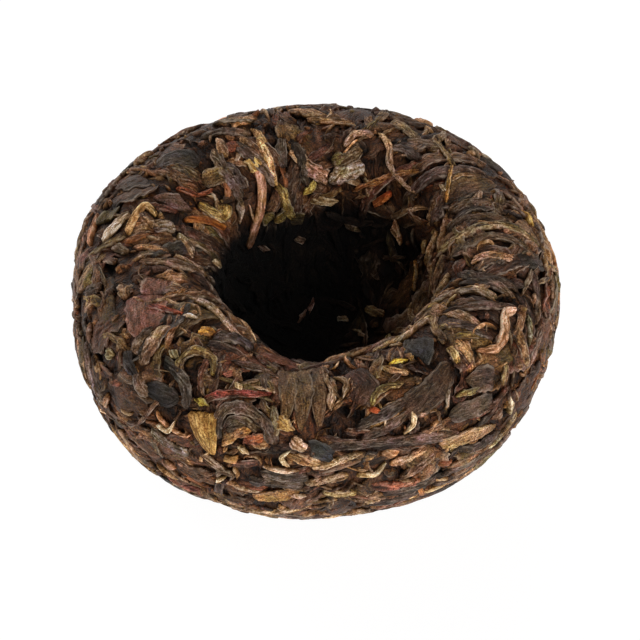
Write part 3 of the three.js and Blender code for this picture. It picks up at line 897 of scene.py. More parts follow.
# %% Strips on the left and in the hollow
SHOWN_STRIPS += [
    # The left of the lip
    ([(224, 11.3), (224, 8), (223, 3.5)], 2.5, "#7d6046", "#b8a08a"),
    ([(221, 10.5), (220, 8), (220.5, 5)], 1.6, "#54443a", "#75624f"),
    ([(211, 3.6), (217, 2), (223, 0.6)], 1.1, "#a8583a", "#7c4030"),
    ([(212, -2), (217, -3.7), (224, -4.5), (232, -4.6), (239, -5), (243, -6.4)], 1.2, "#b0a08c", "#84725f"),
    ([(175, -1.5), (172, -4.8)], 2.6, "#5a4c42", "#8d8072"),
    ([(175, -5.5), (180, -9)], 2.0, "#75685a", "#b0a08a"),
    ([(184, 1.8), (185, -1), (186, -4.5)], 2.0, "#5c4632", "#94744c"),
    ([(192, 1), (195, -4.5), (191, -11)], 1.8, "#5a4636", "#7d6650"),
    ([(188, -5), (190, -8), (187, -12)], 1.6, "#7d6a52", "#9c876a"),
    ([(152, -2), (149.5, -5), (141, -6.6)], 1.0, "#a05c3a", "#7c4630"),
    ([(153, -6.4), (151, -9.2), (146, -10.6), (140.5, -9.6)], 2.5, "#85733c", "#ac975a"),
    ([(214.5, 24.5), (216, 21)], 1.3, "#b08868", "#8a6a50"),
    ([(203, 17), (207, 21), (214, 25)], 1.6, "#6b5a50", "#8c7c70"),
    ([(192, 12.5), (196, 9)], 2.4, "#6b5a48", "#4f4238"),
    # In the hollow
    ([(36, -21), (32, -23.5), (29, -26)], 0.9, "#d8ac64", "#b08c50"),
    ([(53, -16.5), (47, -19.5)], 1.3, "#d0ac84", "#a88460"),
    ([(57, -33), (48, -33), (39, -32.5)], 1.6, "#a89468", "#84704c"),
    ([(66, -36), (78, -36.5)], 1.2, "#a89c80", "#847860"),
    ([(42, -37), (50, -37.5)], 1.2, "#a09070", "#7c6c50"),
    ([(119, -36), (108, -35)], 0.9, "#c09c90", "#947468"),
    ([(106, -35), (99, -33)], 0.8, "#b08878", "#846052"),
    ([(28, -14.5), (26, -17)], 1.2, "#ac9468", "#8c7650"),
    ([(128, -21), (124, -22.5)], 1.1, "#8c7464", "#685648"),
    ([(107, -22), (101, -23)], 1.0, "#7c644c", "#5c4a38"),
    ([(80, -20), (72, -20.5)], 1.2, "#7c664c", "#5a4836"),
    ([(22, -11), (19, -15), (20, -19)], 1.6, "#8c7050", "#b09068"),
    ([(12, -14), (8, -18), (10, -23)], 1.8, "#7c6248", "#a08460"),
    ([(5, -11), (2, -15), (4, -20)], 1.8, "#7c6248", "#9c8260"),
    ([(356, -19), (352, -23), (354, -27)], 1.8, "#6c543c", "#94784c"),
    ([(349, -10), (346, -14), (348, -18)], 1.7, "#84704c", "#a89064"),
    ([(25, -27), (17, -28.5), (9, -28)], 1.6, "#947c5c", "#b8a078"),
    ([(20, -34), (10, -34.5)], 1.5, "#a89068", "#c8b48c"),
]
print(f"{len(SHOWN_STRIPS)} strips in all")

# %% [markdown]
# ## The golden fan and the broad leaves
# One golden leaf is pleated and spread like a fan from its foot, and one large leaf is folded
# lengthwise. A cloth simulation would fold them, but not where the real ones are folded, so each
# pleat is a leaf of its own.

# %% The golden fan and the broad leaves
SHOWN_FAN = [
    ([(247, 21), (244.4, 17.8), (240.6, 14)], 1.7, "#8a6a34", "#ac8a4c"),
    ([(247.1, 21), (245, 17.5), (242.2, 13.6)], 1.8, "#bc9a58", "#d8bc7c"),
    ([(247.2, 21), (245.8, 17.3), (244, 13.3)], 1.8, "#c8a660", "#ac8848"),
    ([(247.3, 21), (246.8, 17), (245.9, 13)], 1.7, "#9c7a38", "#c8a660"),
]
SHOWN_BROAD = [
    # A leaf folded lengthwise into broad pleats at the front
    ([(260, -5.5), (262, 1.5), (263.5, 8.5), (263, 13)], 3.2, "#57442b", "#75603f"),
    ([(264.5, -6), (266, 1), (267.5, 7.5), (267.5, 13.5)], 3.4, "#6a5638", "#4e3d28"),
    ([(268.8, -5.5), (270.3, 1), (271.4, 7), (271, 13)], 3.0, "#4a3927", "#6b5638"),
    # The other broad ones
    ([(208, 1.5), (214, 4.4), (221, 6.6)], 7.5, "#6a4740", "#8a6050"),
    ([(203, -1), (209, 1.5)], 5.0, "#5c403a", "#7c584a"),
    ([(26, -5), (26, 0.5), (26, 6)], 5.5, "#4e3c2c", "#665236"),
    ([(308, 8), (301, 10.3), (292, 12.5)], 5.0, "#403021", "#54412c"),
    ([(299.5, 21), (308, 22), (316, 23.4)], 3.2, "#9a805c", "#cdb48c"),
    ([(305, -1.5), (304.3, 2), (302, 5.2)], 5.0, "#2c2b2b", "#434040"),
    ([(302.5, 16), (308, 16.5), (315, 18)], 3.8, "#443a32", "#5c4e42"),
    ([(309, 11.5), (317, 14)], 4.2, "#443428", "#5c4a38"),
    ([(281, 2.5), (284, 6), (281, 9.5)], 4.2, "#4a342a", "#5c4436"),
    ([(250, 14.6), (254.5, 13.6)], 3.2, "#4c4230", "#5c5038"),
    ([(269, 15.8), (272, 17), (274.5, 19)], 3.2, "#2c2f34", "#3d3f42"),
    ([(227, 14), (237, 13.2)], 4.0, "#211f1e", "#34302c"),
    ([(146, 4), (140, 2.5), (136, -1.5)], 3.6, "#2f2c2a", "#4a443e"),
    ([(141, -4), (133, -5.5), (128, -7.5)], 3.2, "#5c4c30", "#75633e"),
    ([(163, -1), (158, -5)], 3.6, "#54403a", "#6c554c"),
    ([(158, 8), (153, 3.4)], 5.0, "#443429", "#594638"),
    ([(125, -14.5), (120, -16.5)], 2.6, "#4c4524", "#6c6232"),
    ([(118, -16.8), (110, -16.4)], 2.2, "#5c5428", "#7c7036"),
    ([(108, -17.4), (101, -18.6)], 2.6, "#423c20", "#665c2e"),
    ([(85, -7), (78, -7)], 2.6, "#565030", "#736a3c"),
    ([(167, 6.4), (171, 8.2)], 3.0, "#6f683a", "#564f2e"),
    ([(121.8, -0.8), (122.5, -2.8)], 2.2, "#965c3e", "#7a4a34"),
    ([(351, 5), (354, 8), (357, 11.5)], 3.4, "#2e2822", "#443a30"),
    ([(256, 29.8), (262, 28), (267, 26.6)], 3.0, "#8c6c3c", "#b0905c"),
]
print(f"{len(SHOWN_FAN)} golden pleats and {len(SHOWN_BROAD)} broad leaves")

# %% [markdown]
# ## Small pale leaves that stand out
# Buds, thin curls and stems are paler or redder than the rest. Dark leaves can be strewn by chance,
# but a pale one in the wrong place shows at once, so these are placed too.

# %% Small pale leaves that stand out
SHOWN_BUDS = [
    ([(179, 7.6), (174, 5.2), (169, 3)], 1.8, "#dccdb4", "#a08e76"),
    ([(178, 2.8), (171, 1.8), (166.5, 0.6), (170, -1.6)], 1.5, "#c49c60", "#d2b57a"),
    ([(231.5, 1), (235.5, -0.4)], 1.8, "#cc9840", "#b08038"),
    ([(261, 11.5), (265.3, 13.6)], 2.2, "#b08c4a", "#8c6a38"),
    ([(119.5, -4.8), (118, -7.4)], 2.6, "#cba960", "#b88c5c"),
    ([(335.5, 9), (331.5, 7.4), (327, 9), (322, 10.3), (316, 8.2)], 1.7, "#dcb690", "#b88c66"),
    ([(97, -14.6), (91, -15.2), (84, -15.5)], 1.7, "#d6c49e", "#a8946e"),
    ([(186, 2.8), (182.5, 5.4)], 1.7, "#6a5a46", "#94806a"),
    ([(212.5, 14.2), (215, 13.4)], 1.7, "#8c8660", "#a89c70"),
]
SHOWN_CURLS = [
    ([(101, -13), (97, -12.3), (93.5, -10.6)], 1.3, "#c8b45a", "#a8923e"),
    ([(294, 12.8), (293.5, 14.6), (291, 16)], 0.9, "#ead8ae", "#c8b288"),
    ([(280, 23), (284, 23.4), (286.5, 21.8)], 0.7, "#ead8ae", "#c2ac7e"),
    ([(264.2, 20.3), (263, 18.4), (265, 17)], 0.8, "#e2d2a8", "#bca67c"),
    ([(259, 20.8), (263, 21.4), (267, 21.4)], 0.7, "#dcc2a4", "#b89a7c"),
    ([(232.8, 19), (236, 18.9), (237.2, 17)], 0.8, "#e8d8b2", "#c4b088"),
    ([(247.2, 27.4), (250, 25.6)], 0.8, "#e8d8b2", "#b8a478"),
    ([(247.5, 26), (249, 24.2), (251.5, 24.4), (250.5, 26.6)], 0.8, "#8c7660", "#6c5844"),
    ([(276.6, 3.4), (279, 5.2), (277.5, 8)], 1.1, "#b09a78", "#8c765a"),
    ([(273.6, 2), (274, 5), (276.5, 8)], 0.8, "#9c8464", "#78644c"),
    ([(250, 6.8), (251, 8.2)], 1.2, "#f2e2ba", "#e0ca9a"),
    ([(177.5, 10.8), (172, 10), (166.5, 9.8)], 1.1, "#cf9c78", "#a87a5a"),
    ([(174.5, -12.8), (171, -15.6)], 1.4, "#e6d8b6", "#d0be94"),
    ([(293, 2.8), (298, 3.6)], 1.0, "#dcc040", "#b89a34"),
    ([(351, 9), (346, 8.6), (341, 8.5)], 0.9, "#9a8468", "#75634e"),
    ([(354, 13.4), (348, 10.6)], 0.9, "#8e7654", "#6a563e"),
    ([(320, 23), (321, 20)], 1.0, "#d0c09a", "#9c8c68"),
    ([(204.4, 16.2), (202, 13.8)], 0.8, "#c0a090", "#8c7264"),
    ([(265, 27.3), (268, 27.7)], 0.9, "#c8a888", "#a08468"),
    ([(253.5, 17.5), (255.2, 18.6)], 0.8, "#dccaa2", "#b8a47e"),
    ([(241.2, 11.6), (244.2, 12.2)], 1.2, "#b0a03c", "#8a7c30"),
    ([(224, 0.6), (227.5, -0.6)], 0.6, "#e0d8c4", "#c0b49c"),
    ([(32, -3.4), (28, -3.6)], 0.8, "#dcd0b8", "#b8a888"),
    ([(13.5, 8.4), (9, 10.2)], 1.1, "#c0a050", "#94783f"),
]
SHOWN_STEMS = [
    ([(116.5, -5.5), (123, -11), (130, -15.5), (136, -20.5)], 1.7, "#a88068", "#c8a286"),
    ([(166, -5.5), (159, -8.6), (150, -12.5)], 1.5, "#804a1e", "#a46c2a"),
    ([(65.5, -14.4), (61, -12.6), (57, -10.8)], 1.3, "#a64e28", "#b06a3a"),
    ([(296, 31.5), (298, 36)], 0.9, "#a8733e", "#8e5a2c"),
    ([(283.8, 10.5), (286, 11.5)], 1.1, "#9c4c2a", "#7c3c20"),
    ([(299.6, 25), (302.4, 26.2)], 1.3, "#96653c", "#74492c"),
    ([(249.6, 21), (253, 20.5)], 1.7, "#c8a06e", "#a47c4e"),
    ([(285.6, 19), (289.2, 20)], 1.6, "#c09c78", "#94765a"),
    ([(233, 27.8), (236, 29)], 1.4, "#b8927a", "#94705c"),
    ([(229.6, 6.4), (231.8, 7.2)], 1.3, "#b0ac9c", "#8c8878"),
]
SHOWN = [*SHOWN_STRIPS, *SHOWN_FAN, *SHOWN_BROAD, *SHOWN_BUDS, *SHOWN_CURLS, *SHOWN_STEMS]
print(f"{len(SHOWN)} leaves stand out")

# %% [markdown]
# ## Room for them
# A leaf that shows was pressed on last, so those under it sit lower. Each could be moved by hand,
# but a search tree over points along all the shown leaves tells any other leaf how far it is from
# one, so it sinks there by itself.

# %% Make room
# How far a shown leaf presses on either side of its middle line, as a share of its width
ROOM_SHARE = 0.42
room_points = [
    (point, ROOM_SHARE * width) for stops, width, *_ in SHOWN for point in guided_line(stops, 16)]
room_tree = KDTree(len(room_points))
for index, (point, _) in enumerate(room_points):
    room_tree.insert(point, index)
room_tree.balance()
room_halves = np.array([half for _, half in room_points])
# What is left of a shown leaf's lightness, as the tent is a little brighter than its light was
SHOWN_LIGHT = 0.95


def shown_room(places):
    """1 under a shown leaf, fading to 0 beside it."""
    found = [room_tree.find(place)[1:] for place in places.reshape(-1, 3)]
    index, away = np.array(found).T
    inside = 1 - smoothstep(away - room_halves[index.astype(int)], -0.4, 0.4)
    return inside.reshape(places.shape[:-1])


def press_shown(blank, shown, level, **form):
    """Press the leaves of a list of stops, widths and colours."""
    lines = np.array([guided_line(stops, blank["steps"]) for stops, *_ in shown])
    widths = np.array([width for _, width, *_ in shown], float)
    colours = SHOWN_LIGHT * np.array([(shade(first), shade(second)) for *_, first, second in shown])
    levels = np.full(len(shown), level)
    # They keep most of their colour under the painted shade of the hollow
    return press(blank, lines, widths, levels, colours, painted_shade_power=0.25, proud=0.15, **form)


print(f"{len(room_points)} points tell where shown leaves press")

# %% [markdown]
# ## Where the other leaves lie
# All other leaves are spread evenly by the powers of the plastic number, which fill an area without
# rows. Plain chance would leave heaps and bare spots. Outside they lie round the nest, in the hollow
# they point up its wall, and on the lip they cross.

# %% Spread and head the leaves
# The lowest place in the hollow and the last before the foot, in mm out from the crest
LOWEST, HIGHEST = FLOOR_OUT + 1.5, FOOT_OUT - 9
PLASTIC_NUMBER = 1.32471796
# The photo looks down at the nest by this many degrees, and FACING points back at it
VIEW_ELEVATION = 44
FACING = (0, -math.cos(math.radians(VIEW_ELEVATION)), math.sin(math.radians(VIEW_ELEVATION)))


def even_places(count, start=0, facing_share=1.0):
    """Places spread evenly, with only this share of those that face the shown side."""
    rows = np.arange(LOWEST, HIGHEST, 0.25)
    covered = np.cumsum(np.interp(rows, section_out, section[:, 0]))
    covered /= covered[-1]
    index = np.arange(start, start + count)
    step = 1 / PLASTIC_NUMBER
    azimuth = 360 * ((index * step ** 2) % 1) + draw.normal(0, 3, count)
    out = np.interp((index * step) % 1, covered, rows)
    out = np.clip(out + draw.normal(0, 0.8, count), LOWEST, HIGHEST)
    faces = on_nest(azimuth, out)[1] @ np.array(FACING) > 0.2
    kept = ~faces | (draw.random(count) < facing_share)
    return azimuth[kept], out[kept]


def usual_heading(azimuth, out, spread=22):
    """Round the nest outside, up the hollow's wall, across the lip and mixed at its front."""
    count = len(out)
    heading = np.where(out > 0, draw.normal(0, spread, count), 90 + draw.normal(0, spread + 4, count))
    across_lip = 90 + draw.normal(0, 30, count)
    mixed = draw.uniform(-90, 90, count)
    crossing = np.where(draw.random(count) < 0.3 + 0.45 * turn_bell(azimuth, 270, 60), mixed, across_lip)
    return np.where(draw.random(count) < bell(out + 1, 11), crossing, heading)


print(f"leaves lie from {LOWEST:.1f} to {HIGHEST:.1f} mm out")

# %% [markdown]
# ## Single leaves and sheaves
# A broad leaf lies alone. Rolled strips were limp when pressed and slid together like straw. A
# simulation of their fall could find such bundles, but a sheaf made by rule is quicker: it gives its
# strips one direction, one bend and one height, side by side.

# %% Lay lines alone and in sheaves
# How much of its own width a strip keeps for itself beside the next one of its sheaf
SHEAF_GAP = 0.8


def loose_lines(places, lengths, steps, bend, spread=24):
    """Middle lines of single leaves of these lengths, bent by up to about `bend` degrees."""
    azimuth, out = places
    count = len(azimuth)
    return drifting_lines(
        azimuth, out, usual_heading(azimuth, out, spread), draw.uniform(*lengths, count),
        draw.normal(0, bend, count), steps, sway=bend / 2)


def sheaves(places, per_sheaf, width, length, level):
    """Lines and sizes of strips that lie side by side in sheaves."""
    azimuth, out = places
    count = len(azimuth)
    heading = usual_heading(azimuth, out)
    bend = draw.normal(0, 40, count) + np.where(np.abs(out) < 10, draw.normal(0, 45, count), 0)
    members = draw.integers(1, per_sheaf + 1, count)
    owner = np.repeat(np.arange(count), members)
    rank = np.concatenate([np.arange(m) - (m - 1) / 2 for m in members])
    total = len(owner)
    widths = draw.uniform(*width, count)[owner] * draw.uniform(0.6, 1.25, total)
    lengths = draw.uniform(*length, count)[owner] * draw.uniform(0.6, 1.15, total)
    slip = draw.normal(0, 0.2, total) * lengths
    place, normal = on_nest(azimuth[owner], out[owner])
    turn = np.radians(azimuth[owner])
    round_way = np.stack([-np.sin(turn), np.cos(turn), np.zeros(total)], -1)
    angle = np.radians(heading[owner])[:, None]
    along = round_way * np.cos(angle) + np.cross(normal, round_way) * np.sin(angle)
    aside = np.cross(normal, along) * (rank * widths * SHEAF_GAP)[:, None]
    moved = nearest(place + aside + along * slip[:, None])
    lines = drifting_lines(
        *moved, heading[owner] + draw.normal(0, 9, total), lengths,
        bend[owner] * draw.uniform(0.7, 1.3, total), STRIP["steps"], sway=35)
    levels = draw.uniform(*level, count)[owner] + draw.normal(0, 0.1, total)
    return lines, widths, levels


print(f"the strips of a sheaf lie {SHEAF_GAP} of their width apart")

# %% [markdown]
# ## Broad dark leaves
# The bed of the nest is torn, flat pieces of large leaves, 4 to 7.5 mm wide and 8 to 16 mm long. They
# lie like shingles, with veins, crumpled skin and ragged ends. Flat cards with a cut-out picture
# would be lighter, but they show no thickness at their torn sides, so these are pressed blanks too.

# %% Lay the broad leaves
def torn_or_tapered(count):
    """How blunt an end is: torn off square, or tapering to a point."""
    return np.where(draw.random(count) < 0.45, draw.uniform(9, 20, count), draw.uniform(1.4, 4, count))


def broad_form(count):
    """Sizes of broad leaves, flat and square at their sides."""
    return {
        "crown": draw.uniform(0.05, 0.25, count),
        "squareness": draw.uniform(6, 14, count),
        "ridges": draw.uniform(1.5, 6.0, count),
        "ridge_height": draw.uniform(0.04, 0.14, count),
        "crumple": draw.uniform(0.05, 0.12, count),
        "twist": draw.normal(0, 0.3, count),
        "edge_lift": draw.normal(0, 0.3, count),
        "cup": draw.normal(0.05, 0.15, count),
        "tilt": draw.normal(0, 0.25, count),
        "dip_back": draw.uniform(0, 0.6, count),
        "dip_forth": draw.uniform(0, 0.6, count),
        "blunt_back": torn_or_tapered(count),
        "blunt_forth": torn_or_tapered(count),
        "point": draw.uniform(0.35, 0.9, count),
        "ragged": draw.uniform(0.06, 0.17, count),
        "skew": draw.normal(0, 2.2, count),
        "midrib": np.where(draw.random(count) < 0.35, draw.uniform(0.1, 0.25, count), 0),
        "veins": np.where(draw.random(count) < 0.5, draw.uniform(0.02, 0.06, count), 0),
    }


def lay_broad(count, start, level, palette, widths=(3.8, 7.5), lengths=(8, 16), facing_share=1.0):
    """Broad leaves spread over the nest, from place number `start` on."""
    lines = loose_lines(even_places(count, start, facing_share), lengths, BROAD["steps"], 35, 35)
    total = len(lines)
    return press(
        BROAD, lines, draw.uniform(*widths, total), draw.uniform(*level, total),
        mixed_colours(palette, total), shown_room, **broad_form(total))


# Torn leaf blade, withered and pressed flat: its skin stayed smooth between shallow veins, so the
# eye sees soft dents and blotches more than wrinkles, on dull olive-brown to black
flat_finish = dried_leaf("withered_flat_leaf", wrinkled=0.4, mottled=1.3, hairy=0.5)
piece_from("broad_leaves", lay_broad(290, 40, (-1.0, -0.35), DARK), flat_finish)

# %% [markdown]
# ## Long dark strips
# Over the bed lie leaves that were rolled lengthwise into strips, about 1 to 3 mm wide and 6 to
# 22 mm long. Rolling a flat sheet would give each a true roll with a hollow inside. Nobody sees
# inside, so a rounder blank with wrinkles that wind round it does, and two layers of them cover the
# bed.

# %% Lay the strips
def rolled_form(count):
    """Sizes of rolled strips, rounder than broad leaves and wound round themselves."""
    return {
        "crown": draw.uniform(0.25, 0.65, count),
        "squareness": draw.uniform(2.5, 8, count),
        "ridges": draw.uniform(2.0, 5.0, count),
        "ridge_height": draw.uniform(0.1, 0.24, count),
        "crumple": draw.uniform(0.03, 0.09, count),
        "twist": draw.normal(0, 0.9, count),
        "edge_lift": draw.normal(0, 0.28, count),
        "cup": draw.normal(0, 0.1, count),
        "tilt": draw.normal(0, 0.2, count),
        "dip_back": draw.uniform(0, 1.0, count),
        "dip_forth": draw.uniform(0, 1.0, count),
        "blunt_back": torn_or_tapered(count),
        "blunt_forth": torn_or_tapered(count),
        "point": draw.uniform(0.4, 1.0, count),
        "ragged": draw.uniform(0.07, 0.2, count),
        "skew": draw.normal(0, 1.2, count),
    }


# Leaf rolled by hand and dried in the sun: the roll left sharp lengthwise wrinkles, and the eye sees
# them as thin pale lines on dark brown
rolled_finish = dried_leaf("sun_dried_rolled_leaf", wrinkled=0.85, mottled=1.2)
for number, (start, level) in enumerate([(0, (-0.6, -0.1)), (150, (-0.35, 0.12))]):
    lines, widths, levels = sheaves(even_places(130, start, 0.85), 3, (1.2, 2.7), (8, 21), level)
    batch = press(
        STRIP, lines, widths, levels, mixed_colours(DARK, len(lines)), shown_room, **rolled_form(len(lines)))
    piece_from(f"dark_strips_{number + 1}", batch, rolled_finish)

# %% [markdown]
# ## Strips that stand out
# The listed strips are pressed like the others, but along their own stops. They lie a little
# higher and hardly dip at their ends, as they were pressed on last.

# %% Press the strips that stand out
count = len(SHOWN_STRIPS)
strip_sizes = {
    **rolled_form(count),
    "tilt": 0,
    "edge_lift": draw.normal(0, 0.15, count),
    "crown": draw.uniform(0.25, 0.55, count),
    "squareness": draw.uniform(2.5, 5, count),
    "dip_back": 0.3,
    "dip_forth": 0.3,
    "skew": draw.normal(0, 0.7, count),
    "blunt_back": draw.uniform(3, 14, count),
    "blunt_forth": draw.uniform(3, 14, count),
    "point": draw.uniform(0.4, 0.7, count),
    "ragged": draw.uniform(0.07, 0.14, count),
}
shown_strips = press_shown(STRIP, SHOWN_STRIPS, -0.03, **strip_sizes)
piece_from("shown_strips", shown_strips, rolled_finish)
# Golden tip, the youngest leaf of a shoot: its down dried to gold and lies flat, so it looks warm
# and finely brushed
golden_finish = dried_leaf(
    "golden_tip_leaf", wrinkled=0.5, mottled=0.9, tinted=0.5, hairy=0.4, hair_and_highlight_colour="#d8bc80")
golden_fan = press_shown(
    STRIP, SHOWN_FAN, 0.1, crown=0.25, squareness=5, ridges=2.5, ridge_height=0.1,
    ragged=0.04, crumple=0.02, blunt_back=1.6, blunt_forth=30, point=0.6)
piece_from("golden_fan", golden_fan, golden_finish)

# %% [markdown]
# ## Greener, redder and greyer leaves
# A few broad leaves kept some green, some were bruised red-brown, and thick old ones dried to slate.
# They could share one mesh with the dark ones, but as pieces of their own they can be swapped or
# left out. On the shown side only a third is laid, as the ones seen there were placed already.

# %% Lay the coloured leaves
OLIVE = {"#665530": 3, "#786638": 2, "#5c5032": 3, "#806e3c": 1, "#6c643a": 1}
RED_BROWN = {"#623f30": 3, "#704836": 2, "#563429": 2, "#785242": 1}
SLATE = {"#302e2c": 3, "#3a3734": 2, "#38312c": 3, "#45403a": 1}
count = len(SHOWN_BROAD)
broad_sizes = {
    **broad_form(count),
    "tilt": 0,
    "edge_lift": draw.normal(0, 0.1, count),
    "dip_back": 0.2,
    "dip_forth": 0.2,
    "skew": draw.normal(0, 0.8, count),
    "ridge_height": 0.12,
    "ridges": 5,
    "ragged": 0.06,
    "crumple": 0.06,
}
shown_broad = press_shown(BROAD, SHOWN_BROAD, -0.2, **broad_sizes)
piece_from("shown_broad_leaves", shown_broad, flat_finish)
for name, slot, palette, count, start in [
    ("olive_leaves", "olive_leaf", OLIVE, 46, 700),
    ("red_brown_leaves", "red_brown_leaf", RED_BROWN, 34, 900),
    ("slate_leaves", "dark_leaf", SLATE, 34, 1100),
]:
    batch = lay_broad(count, start, (-0.4, 0), palette, (1.6, 4), (5, 12), facing_share=0.3)
    piece_from(name, batch, flat_finish)

# %% [markdown]
# ## Buds, curls and stems
# Silvery buds are short, plump and finely hairy. Thin cream curls are torn from the edges of young
# leaves, and stems are smoother, brown to orange, and nearly straight. Each kind could be modelled
# on its own, but at a millimetre wide they only differ in a few sizes, so they come from the same
# blanks.

# %% Lay the small pale things
PALE = {"#a58d6d": 3, "#8d7a63": 3, "#b59a70": 2, "#9c8262": 2, "#b8935a": 1}
CREAM = {"#cbb08a": 3, "#b98f62": 3, "#dcc6a0": 2, "#a88660": 2, "#d8a880": 1}
STEM = {"#785234": 3, "#8a6240": 2, "#644430": 2, "#9a7a5a": 3}


def lay_small(blank, count, start, palette, widths, lengths, level, bend, facing_share=1.0, **form):
    """Small leaves spread over the nest, like rolled strips but for the sizes in `form`."""
    lines = loose_lines(even_places(count, start, facing_share), lengths, blank["steps"], bend, 40)
    total = len(lines)
    return press(
        blank, lines, draw.uniform(*widths, total), draw.uniform(*level, total),
        mixed_colours(palette, total), shown_room, **{**rolled_form(total), "skew": 0, **form})


# Silver bud, still closed when it was picked: dense white down, flattened by the cloth, lets little
# of the leaf show and looks pale and soft
bud_finish = dried_leaf(
    "hairy_silver_bud", wrinkled=0.75, mottled=0.8, tinted=0.3, hairy=0.8, hair_and_highlight_colour="#e0d2b4")
buds = join([
    press_shown(STRIP, SHOWN_BUDS, 0.15, crown=0.5, squareness=3, ridge_height=0.2,
                ragged=0.1, blunt_back=14, blunt_forth=2.2, twist=0.5, crumple=0.08, skew=0.5, ridges=2.5),
    lay_small(SMALL, 90, 1300, PALE, (0.8, 1.6), (6, 13), (-0.3, 0.05), 45, 0.4,
              crown=0.5, squareness=3, ragged=0.13, crumple=0.1),
])
piece_from("buds", buds, bud_finish)
# Cream curl, a thread torn off a young leaf: so thin that it dried pale and hardly wrinkled, and it
# shows as a light, matt line
curl_finish = dried_leaf(
    "thin_cream_curl", wrinkled=0.75, mottled=0.8, tinted=0.4, hairy=0.5, hair_and_highlight_colour="#ead9b4")
curls = join([
    press_shown(STRIP, SHOWN_CURLS, 0.2, crown=0.3, squareness=4, ridge_height=0.16,
                ragged=0.12, blunt_back=14, blunt_forth=1.6, point=0.7, crumple=0.06, ridges=2, skew=0.6),
    lay_small(SMALL, 150, 1500, CREAM, (0.35, 0.75), (3.5, 9), (-0.25, 0.05), 110, 0.4,
              crown=0.3, squareness=3, ridge_height=0.08, ragged=0.12),
])
piece_from("curls", curls, curl_finish)
# Young stem: its skin dried tight round the wood, so it is smoother than leaf and a little glossier
stem_finish = dried_leaf(
    "smooth_young_stem", wrinkled=0.6, mottled=0.5, hairy=0.4, hair_and_highlight_colour="#c89a6a", roughness=0.45)
stems = join([
    press_shown(STRIP, SHOWN_STEMS, 0.15, crown=0.4, squareness=3, ridge_height=0.12,
                ragged=0.06, blunt_back=16, blunt_forth=12, point=0.4, ridges=2, skew=0.4),
    lay_small(SMALL, 90, 1800, STEM, (0.7, 1.3), (4, 11), (-0.3, 0.0), 25, 0.4,
              crown=0.4, ridge_height=0.08, ragged=0.08),
])
piece_from("stems", stems, stem_finish)

# %% [markdown]
# ## Threads and crumbs
# Loose fibres, a quarter to half a millimetre wide, run over everything. Torn bits and crumbs of
# leaf fill the gaps. Blender's hair could draw the fibres, but an export leaves hair out, so they are
# the thinnest blanks.

# %% Lay threads and crumbs
THREADS = {"#8a7050": 3, "#a88a62": 2, "#b89a70": 1, "#6c5238": 4, "#5a4430": 3}
threads = lay_small(
    THREAD, 520, 2100, THREADS, (0.25, 0.5), (2.5, 7), (-0.3, 0.05), 90,
    crown=0.25, squareness=2.4, ridge_height=0.03, crumple=0.05)
piece_from("threads", threads, curl_finish)
BITS = {**DARK, "#857038": 1, "#7d5330": 1, "#a88660": 1, "#5e3a2a": 1}
torn_bits = lay_small(
    SMALL, 680, 4500, BITS, (0.8, 2.3), (3, 9), (-0.7, 0.05), 40,
    crown=0.15, squareness=8)
piece_from("torn_bits", torn_bits, rolled_finish)
CRUMBS = {**DARK, "#a88660": 0.8, "#857038": 1, "#7d5330": 0.8}
crumbs = lay_small(
    CRUMB, 1000, 3000, CRUMBS, (0.6, 1.5), (0.8, 2.4), (-0.5, -0.1), 20,
    crown=0.2, squareness=8, ridge_height=0.04, crumple=0.05, blunt_back=12, blunt_forth=12, skew=0.5)
piece_from("crumbs", crumbs, flat_finish)

# %% [markdown]
# ## The floor
# The nest lay on white paper that runs out of sight. The floor is bright enough by itself to look
# white and to throw a little light on the underside. Lamps on a white floor would do it too, but
# they would also change the light on the nest.

# %% Lay the floor
# Half the floor's width in metres
FLOOR_REACH = 1.5
floor_mesh = bmesh.new()
bmesh.ops.create_grid(floor_mesh, x_segments=1, y_segments=1, size=FLOOR_REACH)
floor_data = bpy.data.meshes.new("floor")
floor_mesh.to_mesh(floor_data)
floor_mesh.free()
floor = bpy.data.objects.new("floor", floor_data)
bpy.context.scene.collection.objects.link(floor)
# White photo paper: uncoated and matt, so it shows no shape of its own and only glows evenly
paper, tree = new_material("white_paper")
sheet = add(tree, "ShaderNodeBsdfPrincipled", {
    "Base Color": (*shade("#595959"), 1), "Roughness": 0.9,
    "Emission Color": (*shade("#ffffff"), 1), "Emission Strength": 0.95})
add(tree, "ShaderNodeOutputMaterial", {"Surface": sheet})
floor_data.materials.append(paper)
print(f"the floor is {2 * FLOOR_REACH:.0f} m wide")

# %% [markdown]
# ## The light tent
# The photo was taken in a light tent: light comes softly from low down on several sides, most of
# all from the front right, and little from straight above. With the painted shade on the hollow's
# leaves, that leaves the hollow nearly black while the outside is lit evenly. Area lamps could do
# that, but a world of soft glows needs no objects and casts no hard shadow.

# %% Light the tent
world = bpy.data.worlds.new("light_tent")
bpy.context.scene.world = world
world.use_nodes = True
tree = world.node_tree
tree.nodes.clear()
direction = add(tree, "ShaderNodeTexCoord", output="Generated")
# Soft lights of the tent: direction round the nest, elevation, strength
TENT_LIGHTS = [
    (315, 10, 3.4), (300, 32, 1.6), (130, 10, 2.0), (95, 12, 1.2), (120, 35, 1.6), (235, 10, 0.85)]
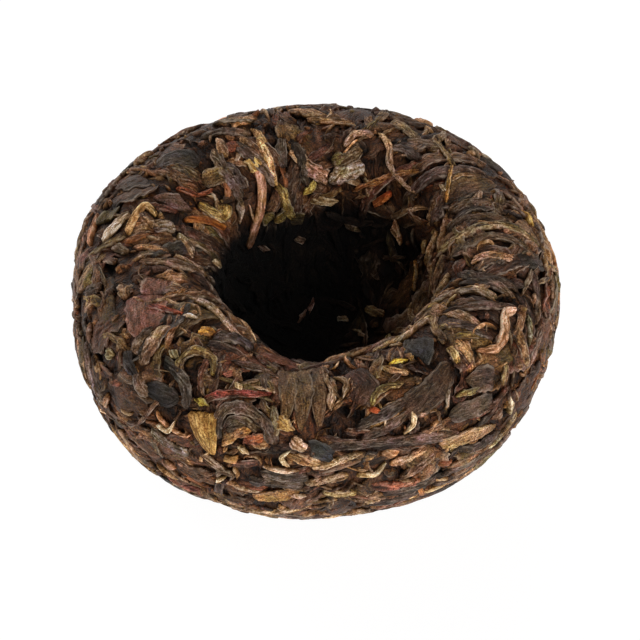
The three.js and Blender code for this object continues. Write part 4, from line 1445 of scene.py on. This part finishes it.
# How narrow each light is, and how bright the tent is between them
LIGHT_FOCUS = 10
TENT_DUSK = 0.04
strength = TENT_DUSK
for azimuth, elevation, power in TENT_LIGHTS:
    around, above = math.radians(azimuth), math.radians(elevation)
    aim = (math.cos(around) * math.cos(above), math.sin(around) * math.cos(above), math.sin(above))
    glow = add(tree, "ShaderNodeVectorMath", {0: direction, 1: aim}, operation="DOT_PRODUCT")
    glow = add(tree, "ShaderNodeMath", {0: glow, 1: 1.0}, operation="SUBTRACT")
    glow = add(tree, "ShaderNodeMath", {0: glow, 1: LIGHT_FOCUS}, operation="MULTIPLY")
    glow = add(tree, "ShaderNodeMath", {0: glow}, operation="EXPONENT")
    strength = add(tree, "ShaderNodeMath", {0: glow, 1: power, 2: strength}, operation="MULTIPLY_ADD")
tent = add(tree, "ShaderNodeBackground", {"Color": (*shade("#fffdfb"), 1), "Strength": strength})
add(tree, "ShaderNodeOutputWorld", {"Surface": tent})
print(f"{len(TENT_LIGHTS)} soft lights, {len(tree.nodes)} nodes")

# %% [markdown]
# ## The camera
# A long lens from far away shows the nest with hardly any perspective, as product photos do. A
# camera can be aimed by hand, but here its place follows from the angle the photo looks down at.

# %% Place the camera
# Millimetres from the nest, and millimetres of focal length
VIEW_DISTANCE = 480
LENS = 160
# The photo's middle lies this far to the right of the nest's middle, and this far above it
AIM_RIGHT, AIM_UP = 1.05, 1.1

tip = math.radians(VIEW_ELEVATION)
back = Vector((0, -math.cos(tip), math.sin(tip)))
up = Vector((0, math.sin(tip), math.cos(tip)))
middle = Vector((0, 0, HEIGHT / 2))
camera_data = bpy.data.cameras.new("camera")
camera_data.lens = LENS
camera_data.sensor_width = 36
camera_data.clip_start = 0.01
camera_data.clip_end = 10
camera = bpy.data.objects.new("camera", camera_data)
aim = middle + Vector((AIM_RIGHT, 0, 0)) + up * AIM_UP
camera.location = (aim + back * VIEW_DISTANCE) * MM
camera.rotation_mode = "QUATERNION"
camera.rotation_quaternion = back.to_track_quat("Z", "Y")
bpy.context.scene.collection.objects.link(camera)
bpy.context.scene.camera = camera
bpy.context.scene.view_settings.view_transform = "Standard"
print(f"the camera is at {[round(v, 3) for v in camera.location]} m")
